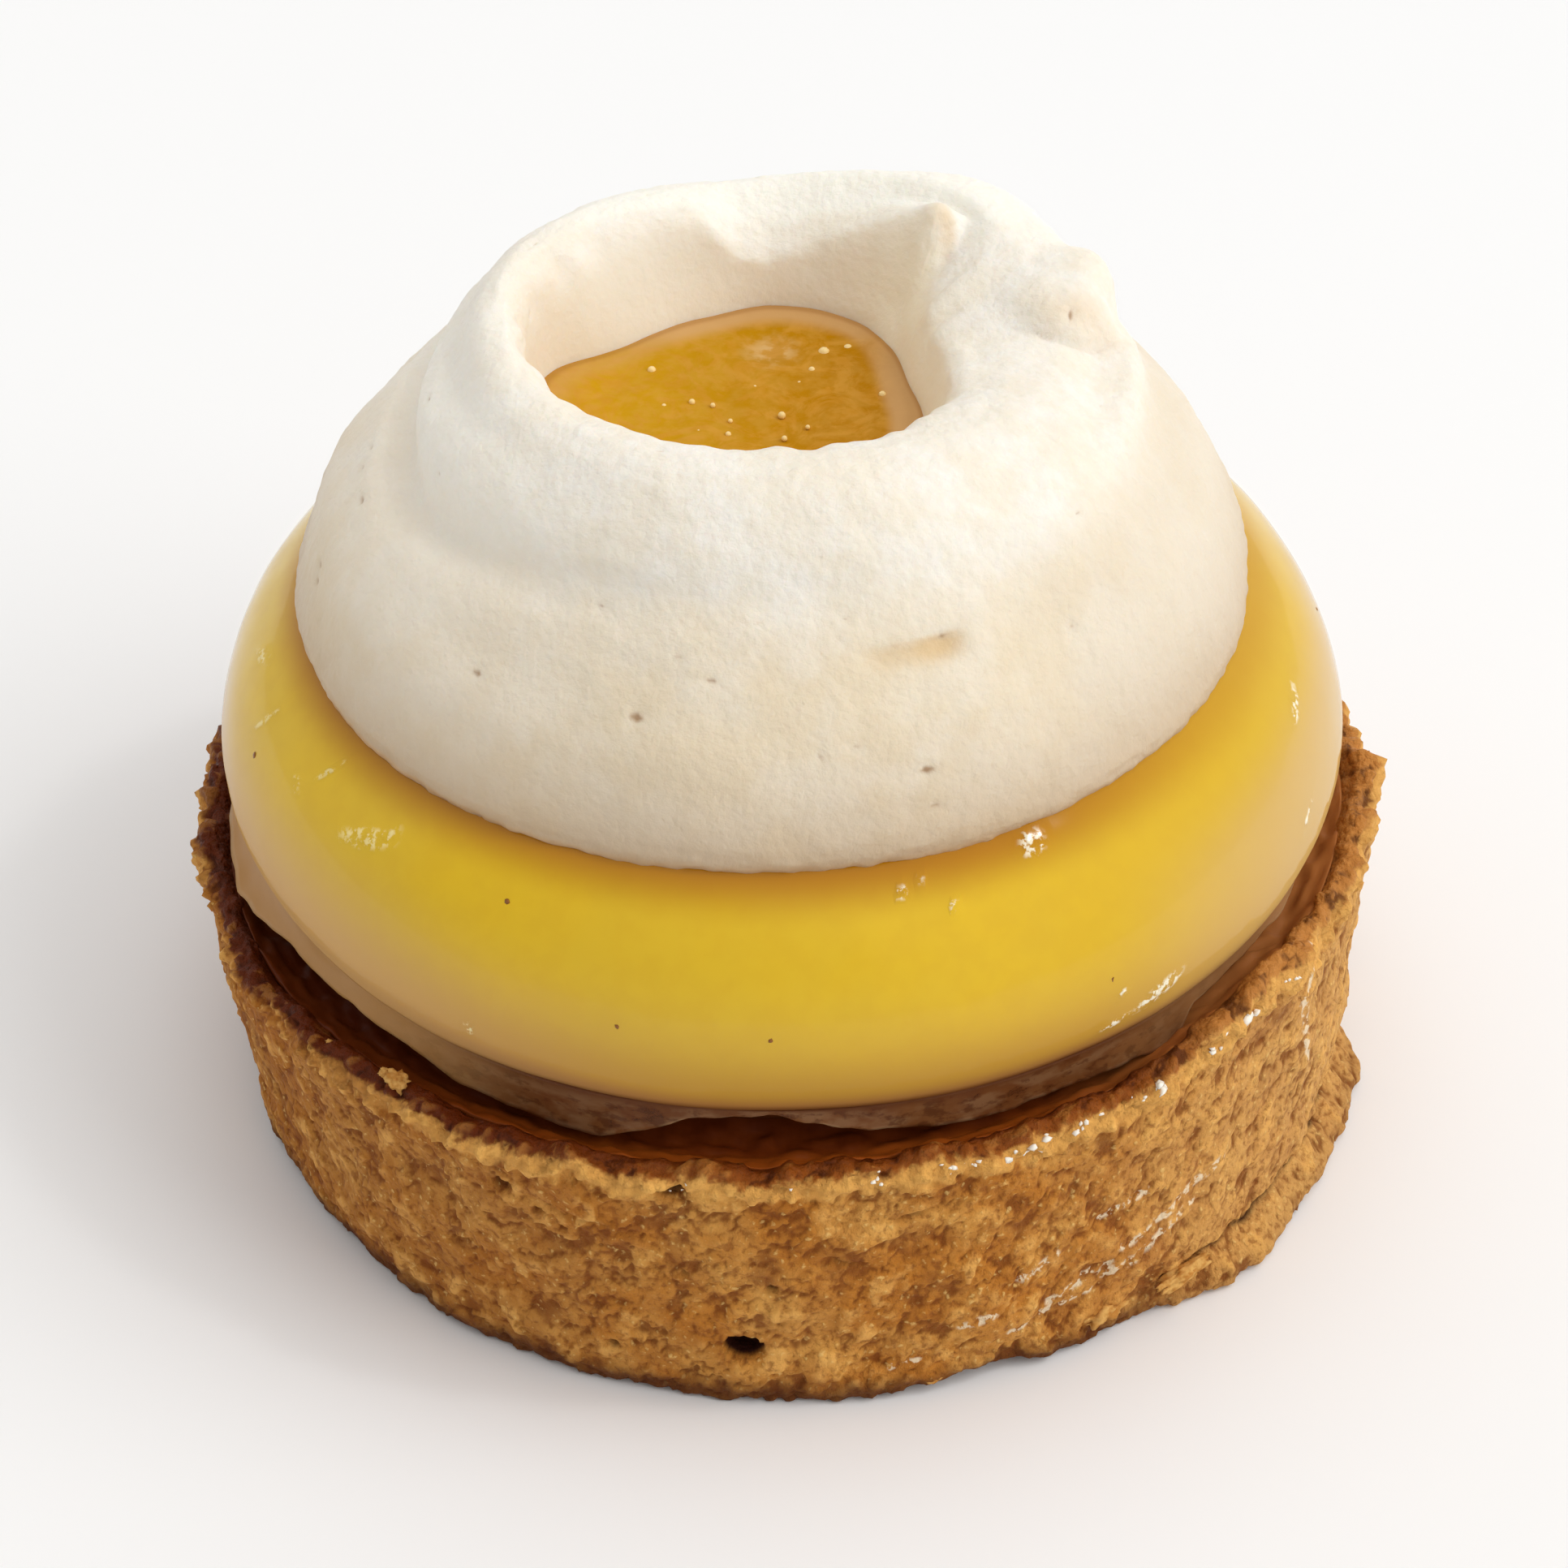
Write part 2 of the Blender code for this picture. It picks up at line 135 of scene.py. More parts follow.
def along(stations, place):
    """The smooth open curve through (r, z) stations, read at a place of 0 to the last one."""
    last = len(stations) - 1
    here = min(int(place), last - 1)
    p0, p1 = stations[max(here - 1, 0)], stations[here]
    p2, p3 = stations[here + 1], stations[min(here + 2, last)]
    return tuple(
        hermite(b, c, (c - a) / 2, (d - b) / 2, place - here)
        for a, b, c, d in zip(p0, p1, p2, p3)
    )


def on_ring(azimuth, width):
    """A point on a circle as long round as a wall, for noise whose lumps are one width wide."""
    angle = math.radians(azimuth)
    return Vector((math.cos(angle), math.sin(angle), 0.0)) * (RIM_RADIUS / width)


def ripple(azimuth, height, size, seed):
    """Smooth noise of about -1..1 over a wall; size is the width of one lump."""
    return noise.noise(on_ring(azimuth, size) + Vector((seed, 0.0, height / size))) * 1.6


def waves(point, *layers):
    """Layers of noise added up, each given as (width of a lump, height)."""
    return sum(height * noise.noise(point / width) for width, height in layers)


def remember(function):
    """The function, with each azimuth's answer kept: every meridian is asked for many times."""
    kept = {}

    def asked(azimuth):
        key = round(azimuth, 3)
        if key not in kept:
            kept[key] = function(azimuth)
        return kept[key]

    return asked


# ---------------------------------------------------------------- meshes


def places(counts):
    """Places along a profile: each step between its points cut into a count of its own."""
    cut = [step + part / count for step, count in enumerate(counts) for part in range(count)]
    return cut + [float(len(counts))]


def spun(profile, cut, steps, closed=False):
    """A profile of (r, z) points turned round the z axis, with each vertex's place on it.

    It is turned in TURN_STEPS coarse steps, each then cut across into finer ones."""
    bm = bmesh.new()
    place = bm.verts.layers.float.new("place")
    verts = []
    for share in cut:
        r, z = along(profile, share)
        vert = bm.verts.new((max(r, 0.0), 0.0, z))
        vert[place] = share
        verts.append(vert)
    pairs = list(zip(verts, verts[1:]))
    if closed:
        pairs.append((verts[-1], verts[0]))
    edges = [bm.edges.new(pair) for pair in pairs]
    bmesh.ops.spin(
        bm,
        geom=verts + edges,
        cent=(0.0, 0.0, 0.0),
        axis=(0.0, 0.0, 1.0),
        angle=math.tau,
        steps=TURN_STEPS,
        use_merge=True,
    )
    bmesh.ops.remove_doubles(bm, verts=bm.verts, dist=1e-4)
    rings = [edge for edge in bm.edges if same_place(edge, place)]
    bmesh.ops.subdivide_edges(bm, edges=rings, cuts=steps // TURN_STEPS - 1, use_grid_fill=True)
    return bm, place


def same_place(edge, place):
    start, end = edge.verts
    return abs(start[place] - end[place]) < 1e-4


def shaped(bm, place, profile, shape):
    """Every vertex moved to where shape puts its (r, azimuth, z, place) on the profile."""
    for vert in bm.verts:
        r, z = along(profile, vert[place])
        vert.co = shape(max(r, 0.0), azimuth_of(vert.co), z, vert[place])
    bmesh.ops.recalc_face_normals(bm, faces=bm.faces)


def raised(bm, place, relief, *names):
    """Vertices moved along their normals by the first value that relief gives for a point.

    The other values are kept on the mesh under the names, for its material to read."""
    layers = [bm.verts.layers.float.new(name) for name in names]
    bm.normal_update()
    moves = []
    for vert in bm.verts:
        height, *marks = relief(vert.co, azimuth_of(vert.co), vert[place])
        moves.append(vert.normal * height)
        for layer, mark in zip(layers, marks):
            vert[layer] = mark
    for vert, move in zip(bm.verts, moves):
        vert.co += move


def revolved(profile, cuts, steps, shape, relief=None, names=(), closed=False):
    """The mesh of a profile spun round, then shaped, then given its relief."""
    bm, place = spun(profile, places(cuts), steps, closed)
    shaped(bm, place, profile, shape)
    if relief:
        raised(bm, place, relief, *names)
    return bm


def spot(r, azimuth, z, shift=0.0):
    angle = math.radians(azimuth)
    return Vector((r * math.cos(angle) + shift, r * math.sin(angle), z))


def to_piece(bm, name, material, slot, *nodes):
    """The finished mesh in metres, riding on the tart in the place of the nodes."""
    bmesh.ops.scale(bm, vec=(MM, MM, MM), verts=bm.verts)
    mesh = bpy.data.meshes.new(name)
    bm.to_mesh(mesh)
    bm.free()
    mesh.shade_smooth()
    mesh.materials.append(material)
    piece = bpy.data.objects.new(name, mesh)
    bpy.context.scene.collection.objects.link(piece)
    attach(piece, BODY)
    if nodes:
        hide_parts(*nodes)
    return piece


# ---------------------------------------------------------------- materials


def srgb(red, green, blue):
    """A colour of 0..255 as seen on a screen, in the linear values that Blender mixes."""
    return tuple(
        value / 12.92 if value <= 0.04045 else ((value + 0.055) / 1.055) ** 2.4
        for value in (red / 255, green / 255, blue / 255)
    )


class Nodes:
    """A node tree built by short calls, each of which returns the socket to link on."""

    def __init__(self, tree):
        self.tree = tree

    def add(self, kind, inputs=(), **settings):
        node = self.tree.nodes.new(kind)
        for name, value in settings.items():
            setattr(node, name, value)
        for name, value in dict(inputs).items():
            self.put(node.inputs[name], value)
        return node

    def put(self, socket, value):
        if isinstance(value, bpy.types.NodeSocket):
            self.tree.links.new(value, socket)
        elif socket.type == "RGBA":
            socket.default_value = (*srgb(*value), 1.0)
        else:
            socket.default_value = value

    def noise(self, place, size, detail=2.0, roughness=0.5, distortion=0.0):
        """Noise of 0..1 whose lumps are about size millimetres wide."""
        inputs = {"Vector": place, "Scale": 1.0 / (size * MM), "Detail": detail}
        inputs |= {"Roughness": roughness, "Distortion": distortion}
        return self.add("ShaderNodeTexNoise", inputs).outputs["Fac"]

    def stretched(self, place, scale):
        return self.add("ShaderNodeMapping", {"Vector": place, "Scale": scale}).outputs["Vector"]

    def mark(self, name):
        """A value that the mesh carries at each vertex."""
        return self.add("ShaderNodeAttribute", attribute_name=name).outputs["Fac"]

    def range(self, value, low, high, low_out=0.0, high_out=1.0):
        inputs = {"Value": value, "From Min": low, "From Max": high}
        inputs |= {"To Min": low_out, "To Max": high_out}
        node = self.add("ShaderNodeMapRange", inputs, interpolation_type="SMOOTHSTEP")
        return node.outputs["Result"]

    def math(self, operation, a, b=0.0):
        node = self.add("ShaderNodeMath", operation=operation)
        self.put(node.inputs[0], a)
        self.put(node.inputs[1], b)
        return node.outputs["Value"]

    def times(self, first, *others):
        """The product of the values."""
        for other in others:
            first = self.math("MULTIPLY", first, other)
        return first

    def mix(self, share, a, b):
        node = self.add("ShaderNodeMix", data_type="RGBA")
        self.put(node.inputs["Factor"], share)
        self.put(node.inputs[6], a)
        self.put(node.inputs[7], b)
        return node.outputs[2]

    def bump(self, height, distance, strength=1.0):
        """A bump whose height of 0..1 stands for distance millimetres."""
        inputs = {"Height": height, "Distance": distance * MM, "Strength": strength}
        return self.add("ShaderNodeBump", inputs).outputs["Normal"]

    def axis(self, place, name):
        return self.add("ShaderNodeSeparateXYZ", {"Vector": place}).outputs[name]


class Finish(Nodes):
    """A material: its nodes, its shader, the place on the tart in metres and the colour so far.

    Colours are given in values of 0..255 as seen on a screen."""

    def __init__(self, name, **constants):
        self.material = bpy.data.materials.new(name)
        self.material.use_nodes = True
        super().__init__(self.material.node_tree)
        self.shader = self.tree.nodes["Principled BSDF"]
        for socket, value in constants.items():
            self.set(socket.replace("_", " "), value)
        self.place = self.add("ShaderNodeTexCoord").outputs["Object"]
        self.color = None

    def set(self, name, value):
        self.put(self.shader.inputs[name], value)

    def group(self, tree, place, size):
        inputs = {"Place": place, "Size": size * MM}
        return self.add("ShaderNodeGroup", inputs, node_tree=tree).outputs[0]

    def mottle(self, place, size):
        """Soft clouds of 0..1, size millimetres wide."""
        return self.group(MOTTLE, place, size)

    def grain(self, place, size):
        """Height of a crumb whose grains are size millimetres wide."""
        return self.group(GRAIN, place, size)

    def over(self, axis, start, end, *out):
        """0 to 1, or as out says, on the way from one place to another along an axis."""
        return self.range(self.axis(self.place, axis), start * MM, end * MM, *out)

    def tint(self, share, color, weight=1.0):
        """Mixes a colour into the colour so far, by a share of 0..1 times a weight."""
        if weight != 1.0:
            share = self.times(share, weight)
        self.color = self.mix(share, self.color, color)

    def done(self):
        self.set("Base Color", self.color)
        return self.material


def new_group(name, output):
    """A node group made from a place and a size in metres: nodes, texture inputs and output."""
    tree = bpy.data.node_groups.new(name, "ShaderNodeTree")
    tree.interface.new_socket("Place", in_out="INPUT", socket_type="NodeSocketVector")
    tree.interface.new_socket("Size", in_out="INPUT", socket_type="NodeSocketFloat")
    tree.interface.new_socket(output, in_out="OUTPUT", socket_type="NodeSocketFloat")
    nodes = Nodes(tree)
    given = nodes.add("NodeGroupInput").outputs
    inputs = {"Vector": given["Place"], "Scale": nodes.math("DIVIDE", 1.0, given["Size"])}
    return nodes, inputs, nodes.add("NodeGroupOutput").inputs[output]


def mottle_group():
    """Soft clouds of tone: a mask of 0..1."""
    nodes, inputs, result = new_group("soft_mottle", "Mask")
    inputs |= {"Detail": 3.0, "Roughness": 0.55}
    cloud = nodes.add("ShaderNodeTexNoise", inputs).outputs["Fac"]
    nodes.put(result, nodes.range(cloud, 0.36, 0.66))
    return nodes.tree


def grain_group():
    """Crumb of a baked or whipped surface: a height of 0..1."""
    nodes, inputs, result = new_group("fine_grain", "Height")
    cells = nodes.add("ShaderNodeTexVoronoi", inputs).outputs["Distance"]
    inputs |= {"Detail": 4.0, "Roughness": 0.6}
    cloud = nodes.add("ShaderNodeTexNoise", inputs).outputs["Fac"]
    nodes.put(result, nodes.math("SUBTRACT", cloud, nodes.times(cells, 0.4)))
    return nodes.tree


MOTTLE = mottle_group()
GRAIN = grain_group()


# ---------------------------------------------------------------- crust

# Height of the rim by azimuth: the case sits on its foot of dough and leans to the left.
RIM_AROUND = (
    (-176, 19.9), (-150, 19.7), (-134, 20.7), (-105, 21.2), (-77, 21.8), (-58, 22.1),
    (-38, 23.6), (-28, 22.3), (-8, 22.9), (3, 22.2), (13, 20.6), (50, 20.9), (90, 20.3),
    (135, 20.4),
)
# (azimuth, spread, outward, upward) of the knobs and chips along the rim.
RIM_CRAGS = (
    (-4.0, 3.0, 0.75, 0.2), (-14.0, 3.5, 0.3, 0.0), (-29.0, 3.0, -0.6, -0.7),
    (-64.0, 3.0, 0.0, 0.3), (-101.0, 3.0, -0.25, -0.3), (-152.0, 3.0, 0.35, 0.0),
    (150.0, 5.0, -0.3, -0.4), (118.0, 3.5, 0.4, 0.4), (82.0, 5.0, -0.3, -0.5),
    (50.0, 3.5, 0.4, 0.3),
)
# The ridge of dough squeezed out under the baking ring: its azimuths, height and reach.
FOOT_FROM, FOOT_TO, FOOT_HEIGHT, FOOT_OUT = -57.0, -8.0, 2.4, 1.95
# The lifted stretch of the bottom edge.
LIFT_AZIMUTH, LIFT_SPREAD, LIFT_HEIGHT = -73.0, 7.0, 1.0
# (width, depth, seed) of the lumps on the baked wall, and of those along the rim.
WALL_LUMPS = ((7.5, 0.34, 2.0), (3.4, 0.2, 9.0))
RIM_LUMPS = (3.6, 0.38, 5.0)
WALL_HEIGHTS = (0.9, 2.6, 4.6, 6.8, 9.0, 11.2, 13.4, 15.6, 17.6, 19.4)
# Steps round, and the parts that each step of the section is cut into.
CRUST_STEPS = 960
CRUST_CUTS = [2, 2, 6] + [7] * 9 + [5, 4, 4, 4] + [4, 3, 2, 1, 1]
# The flakes of the baked wall stand upright, and the streaks of colour on it even more: heights
# are pressed by this much for their noise.
FLAKE_STRETCH, STREAK_STRETCH = 0.85, 0.7
# (azimuth, height, half width, half height, depth) of holes and pits in the wall.
WALL_PITS = (
    (-94.3, 5.4, 1.2, 0.9, 2.4), (-91.6, 11.6, 0.35, 0.3, 0.8), (-90.9, 8.3, 0.22, 0.2, 0.5),
    (-100.5, 19.6, 0.9, 0.55, 0.55), (-116.5, 17.0, 0.7, 0.5, 0.45),
    (-113.0, 15.6, 0.35, 0.3, 0.5), (-99.5, 12.4, 0.3, 0.3, 0.4), (-107.0, 4.0, 0.5, 0.35, 0.5),
)
# (azimuth, height, half length, rise, depth) of cracks in the wall.
WALL_CRACKS = (
    (-109.0, 16.0, 5.2, -0.6, 0.35), (-85.0, 13.6, 1.5, -0.5, 0.45), (-79.0, 17.4, 2.2, 0.7, 0.4),
    (-96.0, 12.0, 1.0, -0.1, 0.35), (-122.0, 9.5, 2.0, 0.9, 0.3),
)

# (width, rise, seed) of the steps where the baked skin flakes off in plates.
PLATES = ((3.4, 0.12, 13.0), (1.9, 0.1, 17.0))
# (azimuth, height) of both ends and half width of the streaks where glaze has run on the wall;
# painted glints lie along them.
WET_STREAKS = (
    ((-57.5, 8.6), (-45.5, 11.2), 0.55), ((-59.0, 6.4), (-49.0, 8.6), 0.6),
    ((-68.4, 9.4), (-65.0, 10.4), 0.5), ((-74.0, 6.3), (-71.0, 6.7), 0.45),
    ((-64.6, 5.6), (-59.0, 7.4), 0.6), ((-69.0, 4.4), (-60.5, 5.2), 0.4),
    ((-60.0, 12.0), (-55.0, 12.6), 0.35), ((-80.5, 3.0), (-78.0, 3.3), 0.35),
    ((-31.5, 22.6), (-34.2, 19.4), 0.3), ((-33.6, 19.0), (-31.0, 12.0), 0.45),
)
# Azimuths that the streaks lie between.
WET_FROM, WET_TO = -84.0, -26.0


def crust_profile():
    """From the middle of the underside, up the outer wall, over the rim, down to the floor."""
    taper = (RIM_RADIUS - BASE_RADIUS) / RIM_HEIGHT
    under = [(0.0, 0.0), (BASE_RADIUS - 6.0, 0.0), (BASE_RADIUS - 0.8, 0.0)]
    wall = [(BASE_RADIUS + taper * z, z) for z in WALL_HEIGHTS]
    rim = [
        (RIM_RADIUS - 0.05, RIM_HEIGHT - 0.95),
        (RIM_RADIUS - 0.3 * RIM_THICKNESS, RIM_HEIGHT - 0.1),
        (RIM_RADIUS - 0.65 * RIM_THICKNESS, RIM_HEIGHT - 0.15),
        (RIM_RADIUS - RIM_THICKNESS, RIM_HEIGHT - 1.2),
    ]
    inside = [
        (LEDGE_RADIUS + 0.75, 19.0),
        (LEDGE_RADIUS, 16.0),
        (BASE_RADIUS - CORNER_INSET + 1.0, CRUST_FLOOR + 1.2),
        (BASE_RADIUS - CORNER_INSET, CRUST_FLOOR),
        (0.0, CRUST_FLOOR),
    ]
    return under + wall + rim + inside


def leaned(height):
    """Sideways shift of the leaning case at a height."""
    return BASE_SHIFT * (1.0 - height / RIM_HEIGHT)


def foot_ends(azimuth):
    return band(FOOT_FROM, FOOT_FROM + 14.0, FOOT_TO - 7.0, FOOT_TO + 1.0, azimuth)


@remember
def crust_meridian(azimuth):
    """What the crust's form needs of one azimuth: rise of the rim, its crags and its foot."""
    rise = around(RIM_AROUND, azimuth) - RIM_HEIGHT
    crag_out = crag_up = 0.0
    for crag_azimuth, spread, out, up in RIM_CRAGS:
        share = bell(turn(azimuth - crag_azimuth), spread)
        crag_out += out * share
        crag_up += up * share
    width, depth, seed = RIM_LUMPS
    crag_up += depth * ripple(azimuth, 0.0, width, seed)
    foot = FOOT_OUT * foot_ends(azimuth) * (1.0 + 0.35 * ripple(azimuth, 0.0, 5.0, 21.0))
    lift = LIFT_HEIGHT * bell(turn(azimuth - LIFT_AZIMUTH), LIFT_SPREAD)
    return rise, crag_out, crag_up, foot, lift


def crust_shape(r, azimuth, z, place):
    """The case's spun form with its tilted craggy rim, baked skin, foot and lifted edge."""
    rise, crag_out, crag_up, foot, lift = crust_meridian(azimuth)
    outer = band(1.5, 3.5, 14.0, 16.5, place)
    near_rim = ease(RIM_HEIGHT - 3.2, RIM_HEIGHT - 0.6, z) * (1.0 - ease(15.5, 17.0, place))
    upward = rise * ease(6.0, RIM_HEIGHT, z) + crag_up * near_rim
    outward = crag_out * near_rim
    for width, depth, seed in WALL_LUMPS:
        outward += depth * ripple(azimuth, z, width, seed) * outer
    if place < 10.0:
        low = 1.0 - ease(FOOT_HEIGHT - 1.6, FOOT_HEIGHT + 0.6, z)
        outward += foot * low * ease(1.9, 2.6, place)
        upward += lift * max(1.0 - z / 2.6, 0.0) * ease(1.2, 2.0, place)
    return spot(r + outward, azimuth, max(z, 0.0) + upward, leaned(z))


def pitted(azimuth, height):
    """Depth of the holes, pits and cracks at a point of the wall."""
    depth = 0.0
    for pit_azimuth, pit_height, wide, high, deep in WALL_PITS:
        across = math.radians(turn(azimuth - pit_azimuth)) * RIM_RADIUS / wide
        up = (height - pit_height) / high
        if abs(across) < 1.6 and abs(up) < 1.6:
            depth = max(depth, deep * (1.0 - ease(0.65, 1.25, math.hypot(across, up))))
    for crack_azimuth, crack_height, long, rise, deep in WALL_CRACKS:
        across = math.radians(turn(azimuth - crack_azimuth)) * RIM_RADIUS / long
        if abs(across) < 1.0:
            bend = 0.5 * ripple(azimuth, 0.0, 1.6, 31.0)
            up = height - crack_height - rise * across - bend
            depth = max(depth, deep * bell(up, 0.26) * (1.0 - across * across))
    return depth


def plates(point):
    """Flaking of the baked skin: steps between plates, and how near a step's foot a point is."""
    ragged = 0.22 * noise.noise(point / 0.6)
    level, foot = 0.0, 0.0
    for size, rise, seed in PLATES:
        share = noise.noise(point / size + Vector((seed, 0.0, 0.0))) + ragged
        level += rise * ease(-0.03, 0.05, share)
        foot = max(foot, bell(share + 0.06, 0.045))
    return level, foot


def wetness(azimuth, height):
    """How near a point of the wall is to one of the wet streaks."""
    near = 0.0
    point = Vector((math.radians(azimuth) * RIM_RADIUS, height))
    for start, end, wide in WET_STREAKS:
        start, end = (Vector((math.radians(at) * RIM_RADIUS, up)) for at, up in (start, end))
        way = end - start
        share = min(max((point - start).dot(way) / way.length_squared, 0.0), 1.0)
        near = max(near, bell((point - start - share * way).length, wide))
    return near


def foot_crack(azimuth, height):
    """Depth of the crack between the wall and the ridge of dough at its foot."""
    if height > 5.0 or not FOOT_FROM < azimuth < FOOT_TO:
        return 0.0
    up = height - FOOT_HEIGHT - 0.5 - 0.35 * ripple(azimuth, 0.0, 2.2, 41.0)
    broken = ease(-1.0, -0.2, ripple(azimuth, 0.0, 4.0, 43.0))
    return 0.4 * bell(up, 0.3) * foot_ends(azimuth) * broken


def crust_relief(point, azimuth, place):
    """The baked skin's crumb, plates and pits: height, tone with painted light on raised crumb and
    painted shade in its crevices, depth of the pits, wetness.
    """
    wall = band(1.6, 2.4, 15.0, 16.5, place)
    outer = band(1.6, 2.4, 13.6, 14.6, place)
    rim = band(11.4, 12.6, 15.4, 16.0, place) * (1.0 - 0.55 * ease(13.8, 14.6, place))
    flake = Vector((point.x, point.y, point.z * FLAKE_STRETCH))
    broad = noise.noise(point / 3.1 + Vector((4.0, 0.0, 0.0)))
    middle = noise.noise(flake / 1.5)
    fine = noise.noise(flake / 0.7)
    near = noise.voronoi(flake / 1.2)[0][0]
    crumb = 0.45 - near + 0.55 * middle + 0.25 * fine
    depth = pitted(azimuth, point.z) if 2.0 < place < 13.0 else 0.0
    grains = max(noise.noise(point / 0.75 + Vector((0.0, 7.0, 0.0))), -0.15)
    crags = noise.noise(point / 1.7 + Vector((0.0, 0.0, 5.0)))
    tiny = noise.noise(point / 0.45 + Vector((0.0, 0.0, 9.0)))
    level, edge = plates(flake) if outer else (0.0, 0.0)
    skin = 0.17 * crumb + 0.1 * fine + level - 0.1 * edge
    height = 0.15 * broad + skin * outer + rim * (0.75 * grains + 0.6 * crags + 0.2 * tiny)
    crack = foot_crack(azimuth, point.z) * outer
    tone = crumb + 0.4 * broad + 3.0 * (level - 0.08) - 0.7 * edge + rim * (grains + 0.6 * tiny)
    wet = wetness(azimuth, point.z) * outer if WET_FROM < azimuth < WET_TO else 0.0
    return height * wall - depth - crack, tone, depth + 1.6 * crack, wet


def crust_finish():
    """Baked shortcrust: golden brown flakes, pits darkened by painted shade, a pale broken rim and
    a soaked inside, with painted light and shade on the crumb and a painted shadow along the foot.
    """
    paint = Finish("baked_crust", Specular_IOR_Level=0.15)
    place, crumb, skin = paint.place, paint.mark("crumb"), paint.mark("place")
    flakes = paint.stretched(place, (1.0, 1.0, FLAKE_STRETCH))
    streaks = paint.stretched(place, (1.0, 1.0, STREAK_STRETCH))
    left = paint.over("X", -4, -20)
    light = paint.range(crumb, 0.1, 0.9)
    dark = paint.range(crumb, -0.1, -0.9, 0.0, 0.75)
    grain = paint.grain(flakes, 0.5)
    paint.color = paint.mix(paint.mottle(place, 6.0), (200, 129, 48), (226, 165, 82))
    paint.tint(paint.mottle(streaks, 2.4), (160, 94, 30), 0.4)
    paint.tint(paint.mottle(flakes, 1.3), (160, 92, 28), 0.24)
    paint.tint(left, (150, 86, 28), 0.35)
    # Paler towards the right: partly glaze run over that side, partly painted light from the
    # right.
    paint.tint(paint.over("X", 14, 37), (222, 172, 104), 0.6)
    # Painted light and shade: the crumb mark is lighter on raised crumb and plates, darker in
    # crevices and at the feet of the plates.
    paint.tint(light, (243, 183, 98), 0.7)
    paint.tint(dark, (122, 60, 16))
    # Painted shade in the grain's hollows and painted highlights on its tops.
    paint.tint(paint.range(grain, 0.3, 0.05), (130, 66, 18), 0.6)
    paint.tint(paint.range(grain, 0.42, 0.6), (246, 204, 124), 0.6)
    # The rim's broken edge is paler, partly its own crumb and partly painted light on its crags,
    # and browner at the left; its inner slope is dark and soaked, darker at the left as painted
    # shade and paler at the right as painted light and the crumb's painted highlights.
    ragged = paint.math("ADD", skin, paint.times(paint.noise(flakes, 0.9, 3.0), 1.5))
    rim = paint.times(paint.range(ragged, 12.7, 13.2), paint.range(ragged, 14.4, 14.1))
    rim = paint.times(rim, paint.over("X", -34, -20), paint.range(light, 0.0, 1.0, 0.6, 0.95))
    paint.tint(rim, (242, 182, 96))
    inner = paint.range(ragged, 13.9, 14.5)
    soaked = paint.mix(paint.range(skin, 13.2, 15.2), (150, 80, 22), (108, 48, 10))
    soaked = paint.mix(left, soaked, (100, 40, 8))
    soaked = paint.mix(paint.over("X", 20, 32), soaked, (196, 130, 62))
    soaked = paint.mix(paint.times(light, 0.4), soaked, (206, 140, 66))
    paint.tint(inner, paint.mix(dark, soaked, (72, 28, 6)))
    # Painted shadow along the bottom edge, with a ragged top, weaker towards the right.
    shadow_edge_noise = paint.times(paint.noise(flakes, 1.6, 3.0), 0.0022)
    foot = paint.range(paint.math("SUBTRACT", paint.axis(place, "Z"), shadow_edge_noise), 0.0019, -0.0005)
    paint.tint(paint.times(foot, paint.over("X", 18, 28, 1.0, 0.25)), (92, 46, 16), 0.9)
    paint.tint(paint.range(skin, 2.05, 1.9), (96, 50, 20))
    # Painted shade in the holes, pits and cracks.
    paint.tint(paint.range(paint.mark("pit"), 0.12, 0.7), (52, 18, 6))
    # Painted glints: pale broken flecks along the streaks where glaze has run.
    broken = paint.range(paint.noise(flakes, 0.7, 3.0, 0.6), 0.48, 0.56)
    wet = paint.times(paint.range(paint.mark("wet"), 0.3, 0.8), broken)
    paint.tint(wet, (248, 226, 190), 0.85)
    smooth = paint.math("MAXIMUM", inner, wet)
    paint.set("Roughness", paint.range(smooth, 0.0, 1.0, 0.75, 0.45))
    paint.set("Normal", paint.bump(grain, 0.4))
    return paint.done()


def make_crust(finish):
    names = ("crumb", "pit", "wet")
    bm = revolved(crust_profile(), CRUST_CUTS, CRUST_STEPS, crust_shape, crust_relief, names)
    for vert in bm.verts:
        vert.co.z = max(vert.co.z, 0.0)
    to_piece(bm, "tart_crust", finish, "baked_crust", "crust")


# ---------------------------------------------------------------- lemon dome

# (r, z) of the dome's outer skin, from its tucked-in foot to the middle of its top.
DOME_SKIN = (
    (33.1, LEDGE_HEIGHT + 0.5),
    (33.4, 20.4),
    (34.7, 22.0),
    (36.2, 23.8),
    (37.2, 25.9),
    (DOME_RADIUS, 28.0),
    (37.0, 30.2),
    (35.9, 32.8),
    (34.1, 35.3),
    (31.2, 37.85),
    (27.0, 39.9),
    (20.0, 41.4),
    (11.0, DOME_TOP - 0.1),
    (0.0, DOME_TOP),
)
DOME_STEPS = 600
